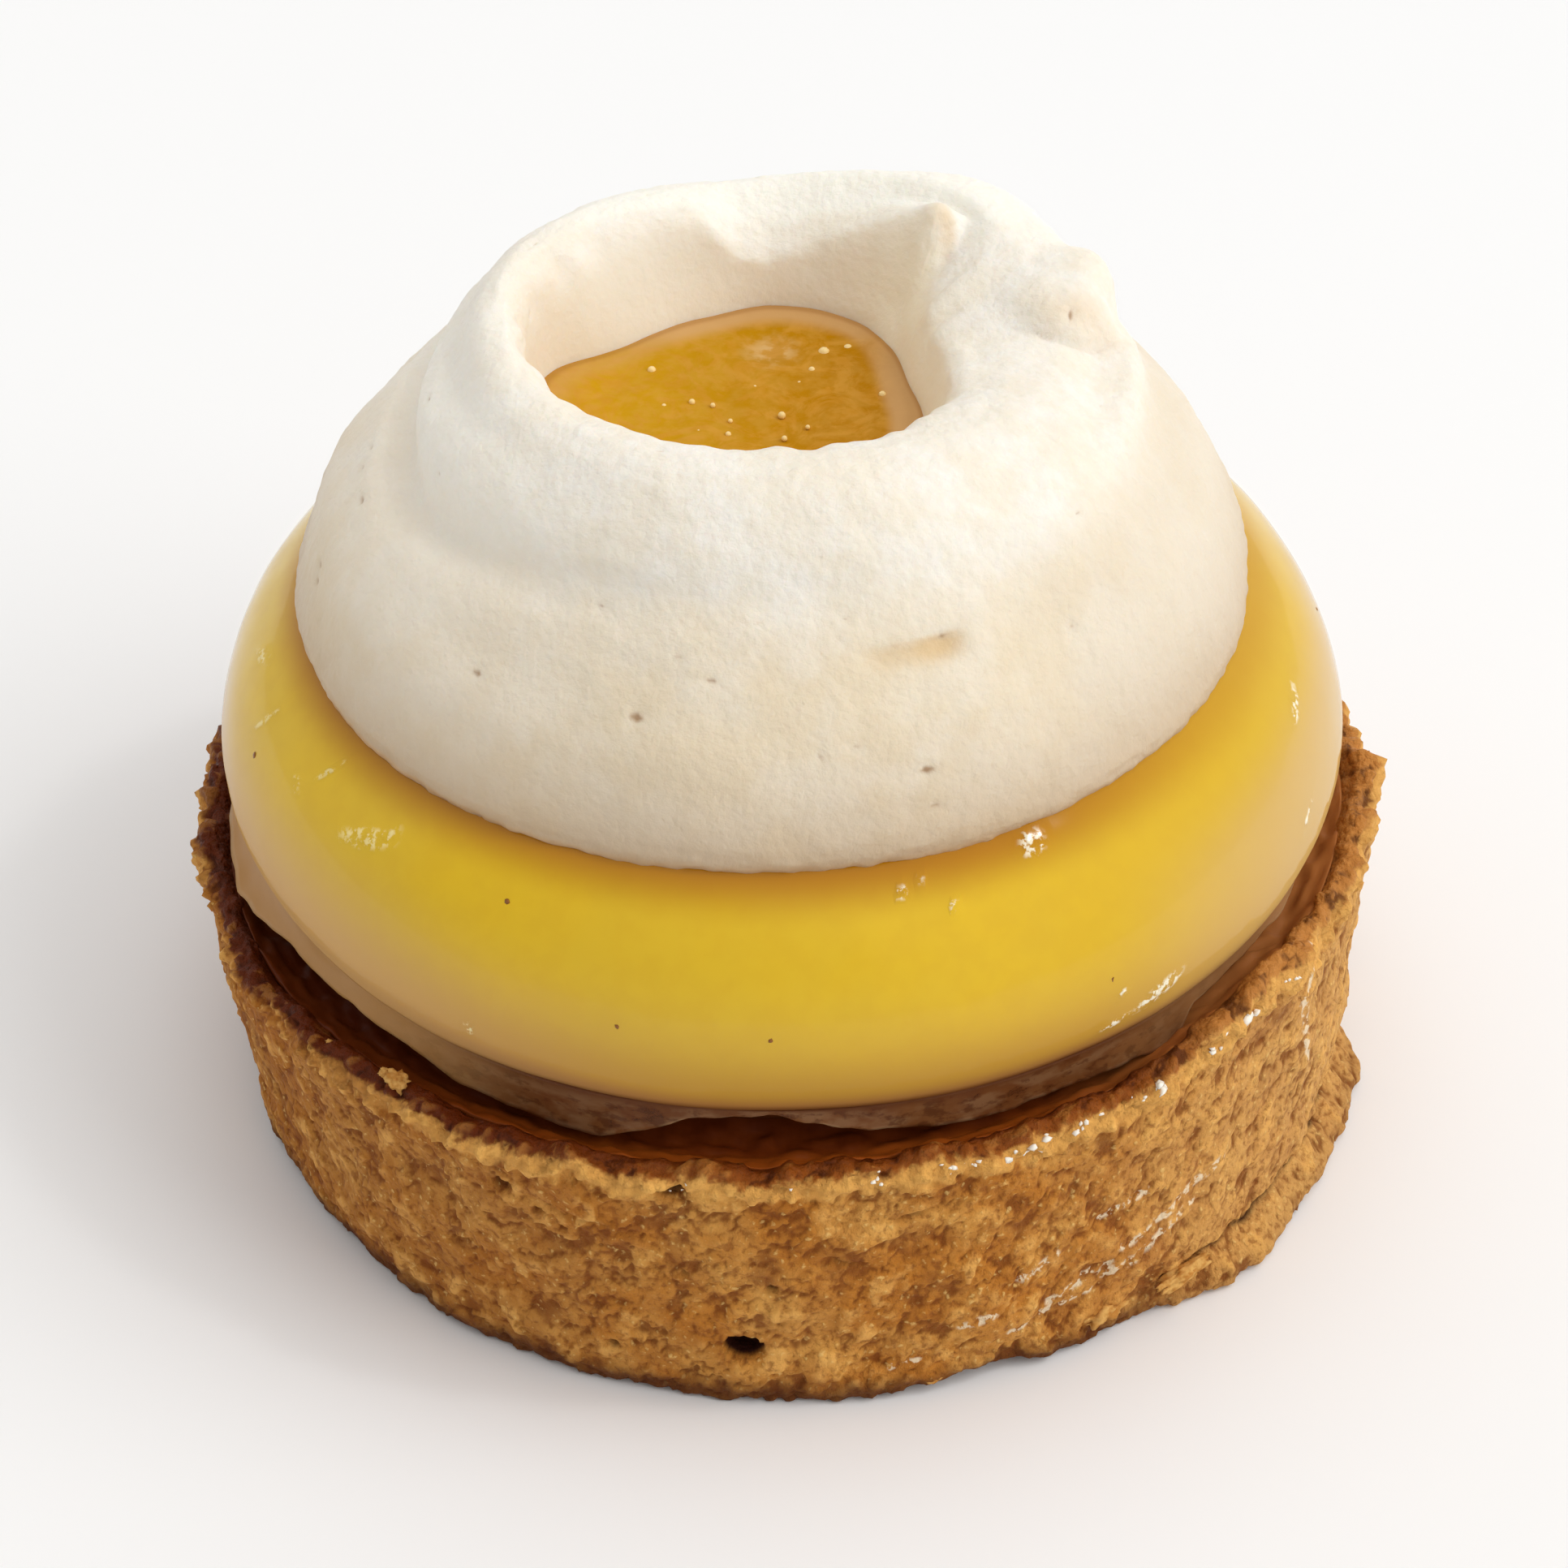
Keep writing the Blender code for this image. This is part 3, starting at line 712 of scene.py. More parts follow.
# (azimuth, height, length round, length up, lean, rise) of small wrinkles in the glaze, where
# glints are painted.
WRINKLES = (
    (-137.6, 34.85, 2.9, 0.5, 0.78, 0.05), (-134.6, 35.9, 0.6, 0.22, 0.2, 0.04),
    (-147.2, 36.0, 0.9, 0.26, 0.9, 0.05), (-150.4, 34.3, 0.8, 0.24, -0.2, 0.05),
    (-161.5, 34.6, 0.8, 0.36, 1.2, 0.05), (-120.8, 27.3, 0.4, 0.5, 0.0, 0.05),
    (-62.0, 37.6, 1.4, 0.4, 0.1, 0.14), (-77.6, 37.1, 0.5, 0.25, 0.0, 0.1),
    (-75.3, 37.3, 0.4, 0.2, 0.0, 0.1), (-72.5, 36.1, 0.4, 0.2, 0.1, 0.08),
    (-52.6, 27.3, 2.3, 0.62, 0.75, 0.2), (-57.6, 26.4, 1.2, 0.34, 0.35, 0.1),
    (-57.0, 28.6, 0.5, 0.2, 0.1, 0.08), (-171.0, 35.4, 1.8, 0.3, 0.4, 0.13),
    (-18.6, 34.8, 2.2, 0.25, 0.6, 0.09), (-26.0, 30.0, 1.4, 0.2, 0.5, 0.06),
    (64.0, 33.0, 1.6, 0.3, 0.3, 0.12), (118.0, 30.5, 1.2, 0.3, -0.3, 0.1),
)


def dome_height(r):
    """Height of the dome's top at a radius inside the meringue's foot."""
    top = [point for point in DOME_SKIN if point[1] > 35.0]
    for (outer, low), (inner, high) in zip(top, top[1:]):
        if inner <= r <= outer:
            return high + (low - high) * (r - inner) / (outer - inner)
    return top[0][1]


def filling_profile():
    """The filling in the case, its ledge under the dome, and the dome."""
    floor = CRUST_FLOOR + 0.32
    corner = BASE_RADIUS - CORNER_INSET - 0.32
    case = [
        (0.0, floor),
        (corner, floor),
        (corner + 1.0, floor + 1.3),
        (LEDGE_RADIUS, 16.0),
        (LEDGE_RADIUS + 0.25, LEDGE_HEIGHT - 0.25),
        (LEDGE_RADIUS - 0.4, LEDGE_HEIGHT),
    ]
    return case + list(DOME_SKIN)


# Place along the section where the dome's skin begins.
DOME_PLACE = 6.0
DOME_CUTS = [1, 1, 1, 2, 3, 6] + [6] * 9 + [5, 4, 3, 3]


@remember
def rim_rise(azimuth):
    return around(RIM_AROUND, azimuth) - RIM_HEIGHT


def filling_shape(r, azimuth, z, place):
    """The filling leans with the case up to its ledge, and the dome on it stands straight."""
    rise = band(6.0, RIM_HEIGHT, LEDGE_HEIGHT, LEDGE_HEIGHT + 2.7, z)
    return spot(r, azimuth, z + rim_rise(azimuth) * rise, leaned(z) if z <= 16.0 else 0.0)


def glaze_relief(point, azimuth, place):
    """Slow waves of the poured glaze and its few small wrinkles, where glints are painted."""
    shown = ease(DOME_PLACE, DOME_PLACE + 2.0, place)
    height, wrinkle_glint = waves(point, (11.0, 0.12), (3.5, 0.03)), 0.0
    for at, up, wide, high, lean, rise in WRINKLES:
        across = math.radians(turn(azimuth - at)) * DOME_RADIUS / wide
        apart = (point.z - up - lean * across) / high
        if abs(across) < 2.0 and abs(apart) < 3.0:
            share = bell(across, 0.8) * bell(apart, 1.0)
            height += rise * (0.6 + noise.noise(point / 0.7)) * share
            wrinkle_glint = max(wrinkle_glint, share)
    return height * shown, wrinkle_glint


def glaze_finish():
    """Lemon glaze: clear yellow; painted shade, orange under the meringue and brown where it turns
    under; painted reflections on its lower part and right side, and painted glints on wrinkles.
    """
    paint = Finish(
        "lemon_glaze", Roughness=0.3, Coat_Roughness=0.07, Coat_IOR=1.4,
        Subsurface_Weight=0.1, Subsurface_Radius=(1.0, 0.65, 0.2), Subsurface_Scale=0.001,
        Specular_IOR_Level=0.0,
    )
    place, skin, left = paint.place, paint.mark("place"), paint.over("X", -2, -30)
    paint.color = paint.mix(paint.mottle(place, 14.0), (224, 184, 42), (229, 187, 34))
    paint.tint(paint.mottle(place, 1.8), (212, 164, 34), 0.18)
    paint.tint(paint.over("X", 6, 30), (204, 162, 36), 0.55)
    # Painted reflection of the pale floor makes the lower dome beige, paler at the left; painted
    # shade browns it where it turns under, darkest just above the film of glaze.
    hang = paint.math("SUBTRACT", skin, paint.times(left, 0.8))
    paint.tint(paint.range(hang, 13.0, 10.0), paint.mix(left, (196, 148, 60), (208, 162, 96)))
    paint.tint(paint.range(hang, 10.2, 9.2), paint.mix(left, (174, 120, 64), (198, 154, 98)))
    paint.tint(paint.range(skin, 9.5, 8.9), paint.mix(left, (108, 60, 28), (176, 130, 78)))
    shade = paint.times(paint.range(skin, 14.2, 15.1), paint.over("X", 12, 30, 0.9, 0.4))
    paint.tint(shade, (180, 114, 0))
    # Painted reflection of the white surroundings pales the dome's right side.
    right = paint.times(paint.over("X", 18, 34), paint.range(skin, 14.4, 12.8))
    paint.tint(right, (206, 168, 106), 0.75)
    # Painted glints: near-white flecks on the wrinkles.
    share, flecks = paint.mark("wrinkle_glint"), paint.noise(place, 0.55, 3.0, 0.6)
    wrinkle_glint = paint.times(paint.range(share, 0.15, 0.6), paint.range(flecks, 0.48, 0.58))
    paint.tint(wrinkle_glint, paint.mix(left, (255, 248, 222), (252, 228, 150)), 0.85)
    paint.set("Coat Weight", paint.range(skin, 10.2, 12.2, 0.2, 1.0))
    paint.set("Normal", paint.bump(paint.times(share, flecks), 0.3))
    return paint.done()


def make_dome(finish):
    profile = filling_profile()
    bm = revolved(profile, DOME_CUTS, DOME_STEPS, filling_shape, glaze_relief, ("wrinkle_glint",))
    to_piece(bm, "lemon_dome", finish, "lemon_glaze", "lemon_filling")


# ---------------------------------------------------------------- meringue nest

# Radius of the nest's hole at its lip and at the gel, and height of the lip, by azimuth.
LIP_RADIUS = (
    (-165, 15.2), (-130, 13.3), (-95, 12.4), (-58, 12.4), (-28, 12.1), (-4, 11.2), (18, 11.1),
    (30, 11.8), (38, 13.4), (46, 15.8), (62, 14.9), (80, 14.1), (98, 13.9), (113, 15.2),
    (145, 15.9), (175, 16.0),
)
GEL_RADIUS = (
    (-165, 15.2), (-130, 12.6), (-90, 11.3), (-45, 10.4), (0, 9.2), (22, 9.1), (45, 10.5),
    (64, 12.2), (91, 12.9), (112, 12.6), (133, 12.7), (147, 13.7), (160, 15.4), (175, 15.7),
)
LIP_HEIGHT = (
    (-165, 55.5), (-125, 55.3), (-90, 55.4), (-50, 55.2), (-15, 54.4), (15, 54.1), (35, 54.6),
    (60, 54.2), (80, 53.7), (98, 53.5), (104, 54.7), (110, 55.9), (140, 56.1), (175, 55.7),
)
CREST_RADIUS = (
    (-150, 16.9), (-90, 16.2), (-40, 15.8), (0, 15.4), (30, 17.8), (60, 19.4), (90, 18.6),
    (112, 18.3), (145, 18.4), (175, 17.5),
)
CREST_HEIGHT = (
    (-150, 56.8), (-90, 56.8), (-50, 56.2), (-20, 55.2), (5, 54.7), (30, 56.4), (48, 57.2),
    (70, 56.8), (90, 56.1), (112, 56.6), (145, 57.4), (170, 57.1),
)
# Share of the lip's rise to the crest that is made on the first part of the way.
LIP_BULGE = (
    (-150, 0.75), (-60, 0.75), (0, 0.7), (50, 0.55), (72, 0.46), (98, 0.46), (110, 0.75),
    (150, 0.8),
)
# Radius and height of the flank's shoulder under the crest.
SHOULDER_RADIUS = (
    (-150, 21.4), (-120, 21.2), (-40, 21.0), (4, 20.5), (24, 21.6), (48, 22.9), (80, 21.8),
    (110, 21.6), (150, 21.5), (176, 21.0),
)
SHOULDER_HEIGHT = (
    (-150, 54.2), (-120, 54.3), (-40, 54.0), (5, 53.0), (30, 55.4), (50, 56.0), (80, 54.7),
    (110, 54.6), (150, 54.5), (176, 53.9),
)
NEST_CURVES = (
    LIP_RADIUS, LIP_HEIGHT, GEL_RADIUS, LIP_BULGE, CREST_RADIUS, CREST_HEIGHT, SHOULDER_RADIUS,
    SHOULDER_HEIGHT,
)
# The groove between the lower and the upper coil: its height and depth by azimuth.
COIL_GROOVE_HEIGHT = (
    (-160, 49.9), (-132, 50.9), (-104, 52.0), (-58, 52.6), (-30, 52.0), (10, 50.5), (60, 50.0),
    (110, 51.0), (150, 52.0), (180, 50.8),
)
COIL_GROOVE_DEPTH = (
    (-160, 1.4), (-132, 0.85), (-104, 0.5), (-58, 0.25), (-25, 0.2), (10, 0.35), (60, 0.7),
    (110, 1.0), (150, 1.3), (180, 1.55),
)
COIL_GROOVE_WIDTH = 1.5
# The lower coil's belly: its height, spread and rise; and which way out and up the flank faces.
BELLY_HEIGHT, BELLY_SPREAD, BELLY_OUT = 44.5, 3.4, 0.35
FLANK_OUT = Vector((0.75, 0.66))
# Height and width of the waves in the lip, and (width, height) of the nest's lumps.
LIP_WAVE, LIP_WAVE_SIZE, NEST_LUMPS = 0.3, 4.2, (9.0, 0.35)
# The fainter groove outside the last turn of piping, at the left.
TOP_GROOVE_AZIMUTH, TOP_GROOVE_SPREAD, TOP_GROOVE_RADIUS = 178.0, 38.0, 20.0
TOP_GROOVE_WIDTH, TOP_GROOVE_DEPTH = 1.1, 0.7
# The thin peak drawn up along the lip: it swells from one azimuth to its tip, then drops to
# nothing between two more; its height, and how far it moves the wall and thickens behind.
PEAK_FROM, PEAK_TIP, PEAK_END, PEAK_TO = 90.0, 47.5, 49.0, 41.5
PEAK_HEIGHT, PEAK_WALL, PEAK_THICKNESS = 6.0, 1.4, 1.5
# Azimuths and rounds of the smoothing that rounds off the lip behind the hole, and the radius
# round the blunt end of the piping that is smoothed in the same rounds.
SOFT_FROM, SOFT_TO, SOFT_ROUNDS = 37.0, 175.0, 12
TAIL_SOFT = 6.5
# Azimuths and rounds of the further smoothing of the peak, and how many degrees wider than the
# first each stretch of it is, so that it has no sudden end.
ROUND_FROM, ROUND_TO, ROUND_ROUNDS = 32.0, 60.0, 9
ROUND_SPREADS = range(0, 33, 3)
# The blunt end of the piping at the right: middle, half sizes and turn in plan, foot and rise.
TAIL_MIDDLE, TAIL_HALF, TAIL_TURN = Vector((17.6, 8.1)), Vector((4.4, 3.9)), 33.0
TAIL_FOOT, TAIL_RISE = 53.0, 3.1
# Its rounded front: middle, half sizes and turn in plan, and top.
APRON_MIDDLE, APRON_HALF, APRON_TURN = Vector((17.7, 5.1)), Vector((3.4, 4.2)), 24.0
APRON_TOP = 56.2
# Where painted shade lies on the front of the blunt end.
TAIL_SHADE, TAIL_SHADE_SPREAD = Vector((19.3, 2.8)), 2.2

# Stations of the nest's section from the gel over the crest to its foot, cut into this many
# each, and the radii under it.
STATIONS, STATION_CUTS = 16, 8
UNDER_RADII = (30.0, 27.0, 23.0, 18.0)
NEST_STEPS = 720
# The plain ring that the nest's section is first turned as.
RING_RADIUS, RING_HEIGHT, RING_SIZE = 22.0, 48.0, 8.0
# The meridians stand closer together at the peak and the tail than on the other side.
CROWD_AZIMUTH, CROWD = 40.0, 24.0

# (azimuth, station, size) of burst bubbles in the meringue's skin.
PINHOLES = (
    (-107.9, 11.8, 0.36), (-73.1, 12.7, 0.34), (-72.8, 13.5, 0.26), (-81.1, 12.1, 0.24),
    (-85.5, 12.3, 0.22), (-130.6, 11.9, 0.3), (-99.0, 11.0, 0.28), (-103.8, 10.6, 0.24),
    (-83.5, 8.1, 0.2), (-80.7, 9.7, 0.22), (-93.0, 9.8, 0.22), (-48.7, 11.3, 0.22),
    (-38.3, 9.3, 0.24), (-116.7, 9.9, 0.24), (149.7, 5.6, 0.24), (166.7, 3.5, 0.24),
    (-116.1, 5.6, 0.24), (-11.8, 8.0, 0.2), (7.1, 7.3, 0.3), (-67.2, 10.5, 0.26),
)
MORE_PINHOLES, PINHOLE_SEED = 26, 4
# Length on the flank between two stations of the section.
STATION_LENGTH = 2.6
# The tear in the front of the flank: its azimuth, station, half length and depth.
TEAR_AZIMUTH, TEAR_STATION, TEAR_LENGTH, TEAR_DEPTH = -71.8, 10.75, 7.0, 0.62


def peak_share(azimuth):
    """0 off the drawn-up peak, 1 at its tip."""
    rise = max((PEAK_FROM - azimuth) / (PEAK_FROM - PEAK_TIP), 0.0) ** 1.6
    return rise * ease(PEAK_TO, PEAK_END, azimuth) if azimuth > PEAK_TO else 0.0


@remember
def nest_stations(azimuth):
    """(r, z) down one meridian, from the hole's foot over the crest to the outer foot."""
    read = (around(knots, azimuth) for knots in NEST_CURVES)
    lip, lip_z, gel, bulge, crest, crest_z, side, side_z = read
    foot = NEST_RADIUS - 0.15
    peak = peak_share(azimuth)
    ridge_z = lip_z + PEAK_HEIGHT * peak
    wall_rise = PEAK_WALL * (peak if azimuth > PEAK_TIP else ease(26.0, PEAK_TIP, azimuth))
    behind = 0.6 * lip + 0.4 * crest
    behind += (lip + PEAK_THICKNESS - behind) * peak
    return (
        (gel, dome_height(gel) - SET_IN),
        (gel - 0.1, 46.5),
        (gel, GEL_LEVEL),
        (0.35 * gel + 0.65 * lip - 0.15, 0.3 * GEL_LEVEL + 0.7 * lip_z + wall_rise),
        (lip, ridge_z),
        (behind, lip_z + bulge * (crest_z - lip_z)),
        (crest, crest_z),
        (0.55 * crest + 0.45 * side, crest_z - 0.24 * (crest_z - side_z)),
        (side, side_z),
        (22.7, 52.5),
        (24.0, 50.6),
        (25.8, 48.3),
        (27.9, 45.4),
        (29.6, 42.6),
        (30.7, 40.2),
        (NEST_RADIUS, 38.9),
        (foot - 0.1, dome_height(foot) - SET_IN),
    )


@remember
def coil_groove(azimuth):
    return around(COIL_GROOVE_DEPTH, azimuth), around(COIL_GROOVE_HEIGHT, azimuth)


def reach(point, middle, half, turned):
    """How far out a point lies in an ellipse seen from above, 1 at its edge."""
    step = Vector((point.x, point.y)) - middle
    step.rotate(Matrix.Rotation(-math.radians(turned), 2))
    return math.hypot(step.x / half.x, step.y / half.y)


def tail_on(point):
    """The blunt end of the piping laid over a point of the nest's top."""
    out = reach(point, TAIL_MIDDLE, TAIL_HALF, TAIL_TURN)
    if out < 1.0:
        point.z = max(point.z, TAIL_FOOT + TAIL_RISE * (1.0 - out**3.5) ** 0.5)
    out = reach(point, APRON_MIDDLE, APRON_HALF, APRON_TURN)
    if out < 1.0 and point.z < APRON_TOP:
        point.z += (APRON_TOP - point.z) * (1.0 - out**2.2) ** 0.55


def crowded(azimuth):
    return turn(azimuth - CROWD * math.sin(math.radians(azimuth - CROWD_AZIMUTH)))


def on_dome(radius, azimuth, height):
    """A point of the nest, with its outer edge shifted to the left and down on the dome."""
    point = spot(radius, azimuth, height, NEST_SHIFT * ease(27.0, 29.0, radius))
    point.z = max(height, dome_height(math.hypot(point.x, point.y)) - SET_IN)
    return point


def nest_shape(r, azimuth, z, place):
    """A point of the nest: its meridian's station, then the grooves, the tail and lumps."""
    azimuth = crowded(azimuth)
    if place > STATIONS:
        radius = UNDER_RADII[round((place - STATIONS) * STATION_CUTS) - 1]
        return on_dome(radius, azimuth, dome_height(radius) - SET_IN)
    radius, height = along(nest_stations(azimuth), place)
    outside = ease(6.0, 7.5, place)
    groove, groove_height = coil_groove(azimuth)
    swell = BELLY_OUT * bell(height - BELLY_HEIGHT, BELLY_SPREAD)
    swell = (swell - groove * bell(height - groove_height, COIL_GROOVE_WIDTH)) * outside
    radius += FLANK_OUT.x * swell
    height += FLANK_OUT.y * swell
    turned = turn(azimuth - TOP_GROOVE_AZIMUTH)
    dip = bell(turned, TOP_GROOVE_SPREAD) * bell(radius - TOP_GROOVE_RADIUS, TOP_GROOVE_WIDTH)
    height -= TOP_GROOVE_DEPTH * dip * outside
    if 3.0 < place < 5.5:
        radius += LIP_WAVE * ripple(azimuth, 0.0, LIP_WAVE_SIZE, 61.0) * bell(place - 4.2, 0.8)
    point = on_dome(radius, azimuth, height)
    if 4.5 < place < 11.0:
        tail_on(point)
    lumps = waves(point, NEST_LUMPS) * band(1.0, 4.0, 14.0, 16.0, place)
    return point + spot(lumps, azimuth, 0.85 * lumps)


def pinholes():
    """The burst bubbles, the seen ones and some at the back, each on a ring of vertices."""
    draw = random.Random(PINHOLE_SEED)
    holes = list(PINHOLES)
    for _ in range(MORE_PINHOLES):
        holes.append((draw.uniform(50.0, 205.0), draw.uniform(8.0, 14.0), draw.uniform(0.2, 0.3)))
    return [(at, round(down * STATION_CUTS) / STATION_CUTS, size) for at, down, size in holes]


def tear_depth(azimuth, place):
    """The tear: steep under its upper edge, running out below, deeper towards its right end."""
    across = turn(azimuth - TEAR_AZIMUTH) / TEAR_LENGTH
    if abs(across) > 1.15 or not 9.5 < place < 12.0:
        return 0.0
    below = (place - TEAR_STATION) * 2.1 - 0.12 * noise.noise(Vector((azimuth * 0.6, 0.0, 0.0)))
    ends = max(1.0 - across * across / 1.3, 0.0) ** 0.6
    form = band(-0.85, -0.35, -0.2, 1.1, below)
    return TEAR_DEPTH * ends * form * (0.55 + 0.45 * ease(-0.2, 0.7, across))


def nest_relief_with(holes):
    """The meringue's skin: height, burst bubbles, and where it is torn or has painted shade."""

    def relief(point, azimuth, place):
        if place > STATIONS:
            return 0.0, 0.0, 0.0
        skin = 0.3 + 0.7 * ease(3.0, 6.0, place)
        streaks = noise.noise(on_ring(azimuth, 9.0) + Vector((0.0, 0.0, place * 1.9)))
        height = skin * (0.1 * streaks + waves(point, (1.9, 0.075), (0.8, 0.0675)))
        mark = 0.0
        for hole_azimuth, station, size in holes:
            down = (place - station) * STATION_LENGTH
            if abs(down) < 1.2:
                across = math.radians(turn(azimuth - hole_azimuth)) * math.hypot(point.x, point.y)
                near = bell(math.hypot(0.6 * across, 1.2 * down), 0.9 * size)
                mark = max(mark, near * min(size / 0.34, 1.0) ** 1.4)
        drawn = bell(azimuth - 46.0, 7.0) * bell(place - 3.7, 0.9)
        stretched = noise.noise(Vector((point.x * 0.5, 3.0, point.z * 3.2)))
        height += 0.13 * stretched * drawn
        torn = tear_depth(azimuth, place)
        # Painted shade on the front of the blunt end and on the face of the peak, carried in the
        # torn mark with the tear.
        shade = math.hypot(0.6 * (point.x - TAIL_SHADE.x), point.y - TAIL_SHADE.y)
        shade = bell(shade, TAIL_SHADE_SPREAD) if place < 9.5 else 0.0
        tip = 0.3 * bell(azimuth - 46.0, 7.0) * bell(place - 4.2, 0.6)
        foot = ease(14.3, 15.2, place) * 0.12 * noise.noise(point / 0.9)
        return height + foot - 0.3 * mark - torn, mark, torn + max(0.28 * shade, tip)

    return relief


def meringue_finish():
    """Whipped meringue: matt cream, tan in its tear, darker and tanner towards its foot (partly
    toasting, partly painted shade), with painted shade on the blunt end's front and the peak and
    painted light on its far top.
    """
    paint = Finish(
        "meringue", Roughness=0.55, Specular_IOR_Level=0.25,
        Subsurface_Weight=0.35, Subsurface_Radius=(1.0, 0.75, 0.5), Subsurface_Scale=0.0012,
    )
    place, skin = paint.place, paint.mark("place")
    paint.color = paint.mix(paint.mottle(place, 4.2), (246, 240, 229), (243, 234, 217))
    paint.tint(paint.mottle(place, 0.9), (234, 220, 196), 0.2)
    lined = paint.mix(paint.over("X", 2, 9), (240, 231, 212), (254, 238, 208))
    paint.tint(paint.range(skin, 4.6, 2.6), lined, 0.85)
    # Painted light on the far top of the nest, behind the hole.
    far = paint.times(paint.over("Y", 8, 15), paint.range(skin, 4.7, 5.4))
    paint.tint(far, (254, 248, 235), 0.9)
    flank = paint.range(skin, 8.5, 11.0)
    blotches = paint.range(paint.noise(place, 7.0, 3.0, 0.6), 0.42, 0.62, 0.6, 1.0)
    paint.tint(paint.times(flank, blotches), (234, 218, 190))
    paint.tint(paint.times(flank, paint.over("X", 10, 24)), (226, 213, 193), 0.6)
    left = paint.times(paint.over("X", -10, -20), paint.range(skin, 13.5, 10.0))
    paint.tint(paint.times(left, paint.range(skin, 4.6, 6.0)), (253, 245, 232), 0.6)
    # Darker and tanner towards the foot: partly toasting, partly painted shade, deepest where it
    # meets the dome.
    paint.tint(paint.range(skin, 11.5, 15.5), (196, 170, 138), 0.85)
    paint.tint(paint.range(skin, 15.1, 15.9), (206, 158, 104), 0.7)
    # Tan in the tear, and painted shade on the blunt end's front and the peak.
    paint.tint(paint.range(paint.mark("torn"), 0.05, 0.5), (222, 188, 134), 0.75)
    paint.tint(paint.range(paint.mark("pit"), 0.3, 0.9), (176, 134, 92), 0.8)
    grain = paint.times(paint.grain(place, 0.55), paint.range(skin, 3.0, 5.0, 0.4, 1.0))
    paint.set("Normal", paint.bump(grain, 0.14, 0.9))
    return paint.done()


def smoothed(bm, verts, rounds):
    for _ in range(rounds):
        bmesh.ops.smooth_vert(
            bm, verts=verts, factor=0.5, use_axis_x=True, use_axis_y=True, use_axis_z=True
        )


def on_peak(point, place, spread):
    """Whether a point lies on the peak, or within spread degrees of it along the lip."""
    return 2.6 < place < 5.4 and ROUND_FROM < azimuth_of(point) < ROUND_TO + spread


def softened(point, place):
    """Whether a point lies behind the hole, on the peak or round the blunt end."""
    if 2.5 < place < 8.0 and SOFT_FROM < azimuth_of(point) < SOFT_TO:
        return True
    return place > 4.0 and (Vector((point.x, point.y)) - TAIL_MIDDLE).length < TAIL_SOFT


def make_nest(finish):
    count = STATIONS * STATION_CUTS + 1 + len(UNDER_RADII)
    ring = []
    for index in range(count):
        angle = math.tau * index / count
        across, up = RING_SIZE * math.cos(angle), RING_SIZE * math.sin(angle)
        ring.append((RING_RADIUS - across, RING_HEIGHT + up))
    bm, place = spun(ring, range(count), NEST_STEPS, closed=True)
    for vert in bm.verts:
        vert[place] = vert[place] / STATION_CUTS
    shaped(bm, place, ring, nest_shape)
    smoothed(bm, [vert for vert in bm.verts if softened(vert.co, vert[place])], SOFT_ROUNDS)
    for spread in ROUND_SPREADS:
        peak = [vert for vert in bm.verts if on_peak(vert.co, vert[place], spread)]
        smoothed(bm, peak, ROUND_ROUNDS)
    raised(bm, place, nest_relief_with(pinholes()), "pit", "torn")
    to_piece(bm, "meringue_nest", finish, "meringue", "meringue")


# ---------------------------------------------------------------- lemon gel

# (share of the radius in tenths, share of the depth) of the gel's section.
GEL_SECTION = (
    (0.0, 0.0), (5.0, 0.0), (9.9, 0.0), (10.0, 0.5), (10.0, 0.95), (9.5, 1.0), (6.5, 1.0),
    (3.2, 1.0), (0.0, 1.0),
)
GEL_CUTS = [1, 2, 1, 2, 4, 14, 14, 14]
GEL_TENTHS, GEL_STEPS = 10.0, 240
# How much higher the gel stands at the nest's wall, and the height of its waves.
GEL_CREEP, GEL_WAVES = 0.35, 0.25
# Middle of the pale cloud in the gel, in metres.
GEL_CLOUD = (-0.0003, 0.0076, 0.0498)


@remember
def gel_wall(azimuth):
    return around(GEL_RADIUS, azimuth)


def gel_shape(r, azimuth, z, place):
    """The gel fills the nest's hole up to its level, a little higher at the wall."""
    share = min(r / GEL_TENTHS, 1.0)
    radius = share * (gel_wall(azimuth) + 0.25)
    low = dome_height(radius) - SET_IN
    waves = GEL_WAVES * noise.noise(spot(radius, azimuth, 3.0) / 5.0)
    top = GEL_LEVEL - GEL_CREEP * (1.0 - share * share) + waves
    return on_dome(radius, azimuth, low + min(max(z, 0.0), 1.0) * (top - low))


def gel_relief(point, azimuth, place):
    return (waves(point, (2.3, 0.16), (0.9, 0.05)) * ease(5.0, 6.0, place),)


